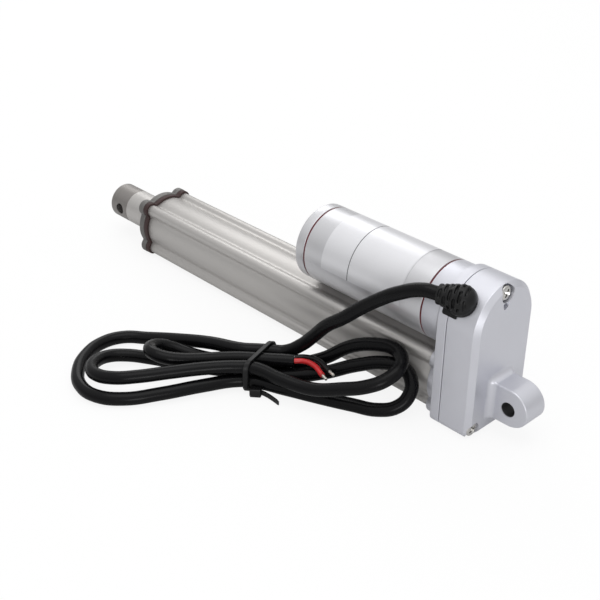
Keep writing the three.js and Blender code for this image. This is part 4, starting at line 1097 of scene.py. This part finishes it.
def screw_head(node, finish, spot, radius, height, rim, turn):
    """A domed head along X with a cross recess; rim is its edge's share of the height.

    The height is negative for a head that faces -X.
    """
    seat, y, z = spot
    way = math.copysign(1, height)
    profile = [(seat, 0), (seat, radius)]
    for angle in quarter_turn(8):
        profile.append((seat + height * (rim + (1 - rim) * math.sin(angle)), radius * math.cos(angle) ** 0.7))
    name = node.replace("_screw_", "_screw_head_")
    head = piece(name, turned(rounded(profile, 0.05), y, z, 48), finish, "screws", node)
    recess_reach, recess_width, recess_floor, clear = 0.62, 0.16, 0.45, 0.3
    long, thin = radius * recess_reach, radius * recess_width
    top, bottom = seat + height + way * clear, seat + height * recess_floor
    tools = []
    for quarter in (0, 90):
        angle = math.radians(turn + quarter)
        u, v = Vector(polar(1, angle)), Vector((-math.sin(angle), math.cos(angle)))
        rings = []
        for x, shrink in ((top, 1.15), (bottom, 0.45)):
            corners = [u * a * long * shrink + v * b * thin for a, b in rectangle(-1, 1, -1, 1)]
            rings.append([(x, y + corner.x, z + corner.y) for corner in corners])
        tools.append(cutter(*loft(rings)))
    cut(head, *tools)
    smooth(head, 40)


class ACTUATOR_OT_motor(bpy.types.Operator):
    """Motor can with its blank label, end cap and two seal rings"""

    bl_idname = "actuator.motor"
    bl_label = "Motor"

    def execute(self, context):
        sizes = context.scene.actuator_sizes
        half = sizes.ring_width / MM / 2
        thickness, overlap, bevel, dish_depth, dish_radius = 1.6, 0.25, 1.0, 0.6, 10.4
        inner = MOTOR_RADIUS - thickness
        shell = wall(FRONT_RING_X + half, REAR_RING_X - half, inner, MOTOR_RADIUS)
        self.ring_shape("motor_shell", shell, 0.3, 160, "shell", "motor_shell", "motor_can")
        start, dish = REAR_RING_X + half, END_CAP_FRONT - dish_depth
        cap = [(start, inner), (start, MOTOR_RADIUS), (END_CAP_FRONT - bevel, MOTOR_RADIUS),
               (END_CAP_FRONT, MOTOR_RADIUS - bevel), (END_CAP_FRONT, dish_radius + dish_depth),
               (dish, dish_radius), (dish, 0)]
        self.ring_shape("motor_cap", cap, 0.35, 160, "shell", "housing", "motor_end_cap")
        crown = MOTOR_RADIUS - sizes.ring_sink / MM
        half += overlap
        for name, middle in (("front", FRONT_RING_X), ("rear", REAR_RING_X)):
            start, end = middle - half, middle + half
            ring = [(start, crown - 1.5), (start, crown - 0.4), (middle, crown),
                    (end, crown - 0.4), (end, crown - 1.5)]
            self.ring_shape(f"seal_ring_{name}", ring, 0.3, 128, "ring", "seal_ring", f"motor_ring_{name}")
        self.label(sizes.label_thickness / MM, sizes.rule_width / MM)
        return {"FINISHED"}

    def ring_shape(self, name, profile, edge, segments, finish, slot, node):
        """A profile with softened corners, turned round the motor's axis."""
        piece(name, turned(rounded(profile, edge), 0, MOTOR_Z, segments), finish, slot, node)

    def label(self, thick, rule):
        """Blank foil label on the motor, with one thin rule across it."""
        bare_front, bare_rear, rule_distance = 11.5, 11.1, 16.9
        start, end = CAN_X + bare_front, CAN_FRONT - bare_rear
        middle = end - rule_distance
        self.wrap("motor_label", start, end, thick, "label")
        self.wrap("motor_label_rule", middle - rule / 2, middle + rule / 2, thick + 0.03, "rule")

    def wrap(self, name, x0, x1, thick, finish):
        """A thin sheet wrapped over the motor's near side and top."""
        low, high = math.radians(-4), math.radians(118)
        rows, columns = 12, 72
        radius = MOTOR_RADIUS + thick
        points = []
        for i in range(rows + 1):
            for k in range(columns + 1):
                y, z = polar(radius, low + (high - low) * k / columns)
                points.append((x0 + (x1 - x0) * i / rows, y, MOTOR_Z + z))
        wide = columns + 1
        faces = [(i * wide + k, i * wide + k + 1, (i + 1) * wide + k + 1, (i + 1) * wide + k)
                 for i in range(rows) for k in range(columns)]
        piece(name, (points, faces), finish, "motor_shell")


class ACTUATOR_OT_tube(bpy.types.Operator):
    """Extruded tube with its gasket, front cap and cap screws"""

    bl_idname = "actuator.tube"
    bl_label = "Tube"

    def execute(self, context):
        stations = rounded_ends(TUBE_X, TUBE_FRONT, 0.15, 2)
        skin = prism(lambda inset: tube_outline(-inset, TUBE_EAR_FILLET), stations)
        piece("tube", skin, "extruded", "tube", "outer_tube", sharp=50)
        back, front = GASKET_X - 0.15, GASKET_FRONT + 0.1
        self.plate("gasket", back, front, CAP_OVERHANG - 0.15, edge=0.4, node="tube_gasket")
        cap = self.plate("cap", CAP_X, CAP_FRONT, CAP_OVERHANG, edge=0.7, node="front_cap")
        cut(cap, drill(CAP_X - 1, CAP_FRONT + 1, ROD_HOLE_RADIUS, ROD_HOLE_RADIUS, 0, 0, 64))
        smooth(cap, 40)
        for i, (y, z) in enumerate(EAR_SPOTS):
            node, spot = f"cap_screw_{i + 1}", (CAP_FRONT + 0.05, y, z)
            screw_head(node, "dark_screw", spot, radius=2.7, height=2.2, rim=0.35, turn=20 + 25 * i)
        return {"FINISHED"}

    def plate(self, name, x0, x1, overhang, edge, node):
        """A plate of the tube's outline, a little wider than the tube."""
        skin = prism(lambda inset: tube_outline(overhang - inset), rounded_ends(x0, x1, edge))
        return piece(name, skin, name, name, node, sharp=50)


class ACTUATOR_OT_rod(bpy.types.Operator):
    """Sliding rod with its turned steel eye"""

    bl_idname = "actuator.rod"
    bl_label = "Rod"

    def execute(self, context):
        profile = wall(ROD_X, EYE_X, inner=8, outer=ROD_RADIUS)
        piece("rod_tube", turned(rounded(profile, 0.12)), "rod", "rod", "inner_rod", body="rod")
        start, edge = EYE_X + 0.05, 0.8
        profile = [(start, 0), (start, ROD_RADIUS), (EYE_FRONT - edge, ROD_RADIUS),
                   (EYE_FRONT, ROD_RADIUS - edge), (EYE_FRONT, 0)]
        eye = piece("rod_eye", turned(rounded(profile, 0.2)), "rod_end", "rod_end", "rod_end", body="rod")
        cut(eye, cross_drill(PIN_DISTANCE, PIN_HOLE_RADIUS, 12))
        soften(eye, width=0.2, angle=50, sharp=40)
        return {"FINISHED"}


class ACTUATOR_OT_inner_parts(bpy.types.Operator):
    """Finishes of the frame's own nodes inside the housing, the motor and the tube"""

    bl_idname = "actuator.inner_parts"
    bl_label = "Inner Parts"

    def execute(self, context):
        by_finish = {
            "steel": "lead_screw idler_axle bearing_outer_ring bearing_inner_ring",
            "brass": "screw_gear motor_pinion bearing_ball_cage motor_bush_front motor_bush_rear",
            "nylon": "idler_gear drive_nut guide_bush",
            "boot": "wiper_seal",
            "board": "limit_switch_strip",
            "plastic": "limit_switch_rear limit_switch_front brush_holder",
            "ferrite": "magnet_left magnet_right brush_left brush_right",
            "copper": "armature commutator",
        }
        for finish, nodes in by_finish.items():
            for name in nodes.split():
                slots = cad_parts[name].data.materials
                slots.clear()
                slots.append(finishes()[finish])
        return {"FINISHED"}


# Studio

PICTURE_WIDTH = 600


class ACTUATOR_OT_studio(bpy.types.Operator):
    """Camera, floor, lamps and room"""

    bl_idname = "actuator.studio"
    bl_label = "Studio"

    def execute(self, context):
        studio = context.scene.actuator_studio
        self.camera(studio)
        self.floor(context.scene.actuator_colours.floor)
        self.lamp("key_lamp", place=(-0.1, 0.1, 1.1), aim=(0, 0, 0), size=0.9, power=studio.key)
        self.lamp("fill_lamp", place=(-0.9, 0.75, 0.2), aim=(0, 0, 0.02), size=0.4, power=studio.fill)
        self.lamp("rim_lamp", place=(0.7, -0.5, 0.6), aim=(0, 0, 0.02), size=0.6, power=studio.rim)
        self.room(studio)
        context.scene.view_settings.view_transform = "Standard"
        return {"FINISHED"}

    def camera(self, studio):
        """Camera at the photograph's place, with its roll and its off-centre axis."""
        level = polar(math.cos(studio.elevation), studio.azimuth - math.pi / 2)
        back = Vector((*level, math.sin(studio.elevation)))
        right = UP.cross(back).normalized()
        above = back.cross(right)
        c, s = math.cos(studio.roll), math.sin(studio.roll)
        turn = Matrix((c * right + s * above, c * above - s * right, back)).transposed()
        data = bpy.data.cameras.new("camera")
        data.lens = studio.focal
        data.sensor_width = 36
        data.shift_x = 0.5 - studio.centre[0] / PICTURE_WIDTH
        data.shift_y = studio.centre[1] / PICTURE_WIDTH - 0.5
        data.clip_start, data.clip_end = 0.01, 50
        made = link("camera", data)
        made.matrix_world = Matrix.Translation(Vector(studio.target) + back * studio.distance) @ turn.to_4x4()
        bpy.context.scene.camera = made

    def floor(self, colour):
        """Pale floor that is white for the camera and still keeps the actuator's shadow."""
        mesh = bpy.data.meshes.new("floor")
        half = 6.0
        mesh.from_pydata([(x, y, 0) for x, y in rectangle(-half, half, -half, half)], [], [(0, 1, 2, 3)])
        link("floor", mesh)
        finish = bpy.data.materials.new("Floor")
        s = Shader(finish)
        glow_share, glossy_share, brightness = 0.82, 0.2, 1.07
        white = (s.ray("Camera") + glossy_share * s.ray("Glossy") + s.ray("Transmission")).clamped()
        paint = s.node("ShaderNodeBsdfDiffuse", None, {"Color": tuple(colour)})
        glow = s.node("ShaderNodeEmission", None, {"Color": (1, 1, 1), "Strength": brightness})
        s.close(s.node("ShaderNodeMixShader", None, [glow_share * white, paint, glow]))
        mesh.materials.append(finish)

    def lamp(self, name, place, aim, size, power):
        data = bpy.data.lights.new(name, "AREA")
        data.shape = "DISK"
        data.size = size
        data.energy = power
        made = link(name, data)
        made.location = place
        made.rotation_mode = "QUATERNION"
        made.rotation_quaternion = (Vector(aim) - Vector(place)).to_track_quat("-Z", "Y")

    def room(self, studio):
        """White for the camera; for the metal, a bright ceiling over dimmer walls."""
        world = bpy.data.worlds.new("room")
        bpy.context.scene.world = world
        s = Shader(world)
        direct = (s.ray("Camera") + s.ray("Transmission")).clamped()
        place = s.node("ShaderNodeTexCoord", output="Generated")
        height = s.node("ShaderNodeSeparateXYZ", None, [place], output="Z")
        steepness = 1.3
        rise = (height * steepness).clamped()
        room = studio.horizon + (studio.sky - studio.horizon) * rise
        strength = direct + (1 - direct) * room
        light = s.node("ShaderNodeBackground", None, {"Color": (1, 1, 1), "Strength": strength})
        s.close(light, "ShaderNodeOutputWorld")


class ACTUATOR_PT_panel(bpy.types.Panel):
    """Lists the actuator's pieces"""

    bl_label = "Linear Actuator"
    bl_idname = "ACTUATOR_PT_panel"
    bl_space_type = "VIEW_3D"
    bl_region_type = "UI"
    bl_category = "Actuator"

    def draw(self, context):
        for operator in OPERATORS:
            self.layout.operator(operator.bl_idname)


OPERATORS = (
    ACTUATOR_OT_studio,
    ACTUATOR_OT_strain_relief,
    ACTUATOR_OT_cable,
    ACTUATOR_OT_gear_housing,
    ACTUATOR_OT_motor,
    ACTUATOR_OT_tube,
    ACTUATOR_OT_rod,
    ACTUATOR_OT_inner_parts,
)
GROUPS = {
    "actuator_colours": ActuatorColours,
    "actuator_sizes": ActuatorSizes,
    "actuator_studio": ActuatorStudio,
}


def register():
    for group in GROUPS.values():
        bpy.utils.register_class(group)
    for name, group in GROUPS.items():
        setattr(bpy.types.Scene, name, bpy.props.PointerProperty(type=group))
    for operator in OPERATORS:
        bpy.utils.register_class(operator)
    bpy.utils.register_class(ACTUATOR_PT_panel)


def unregister():
    bpy.utils.unregister_class(ACTUATOR_PT_panel)
    for operator in reversed(OPERATORS):
        bpy.utils.unregister_class(operator)
    for name, group in GROUPS.items():
        delattr(bpy.types.Scene, name)
        bpy.utils.unregister_class(group)


def main():
    register()
    bpy.ops.actuator.studio()
    bpy.ops.actuator.strain_relief()
    bpy.ops.actuator.cable()
    bpy.ops.actuator.gear_housing()
    bpy.ops.actuator.motor()
    bpy.ops.actuator.tube()
    bpy.ops.actuator.rod()
    bpy.ops.actuator.inner_parts()


if __name__ == "__main__":
    main()
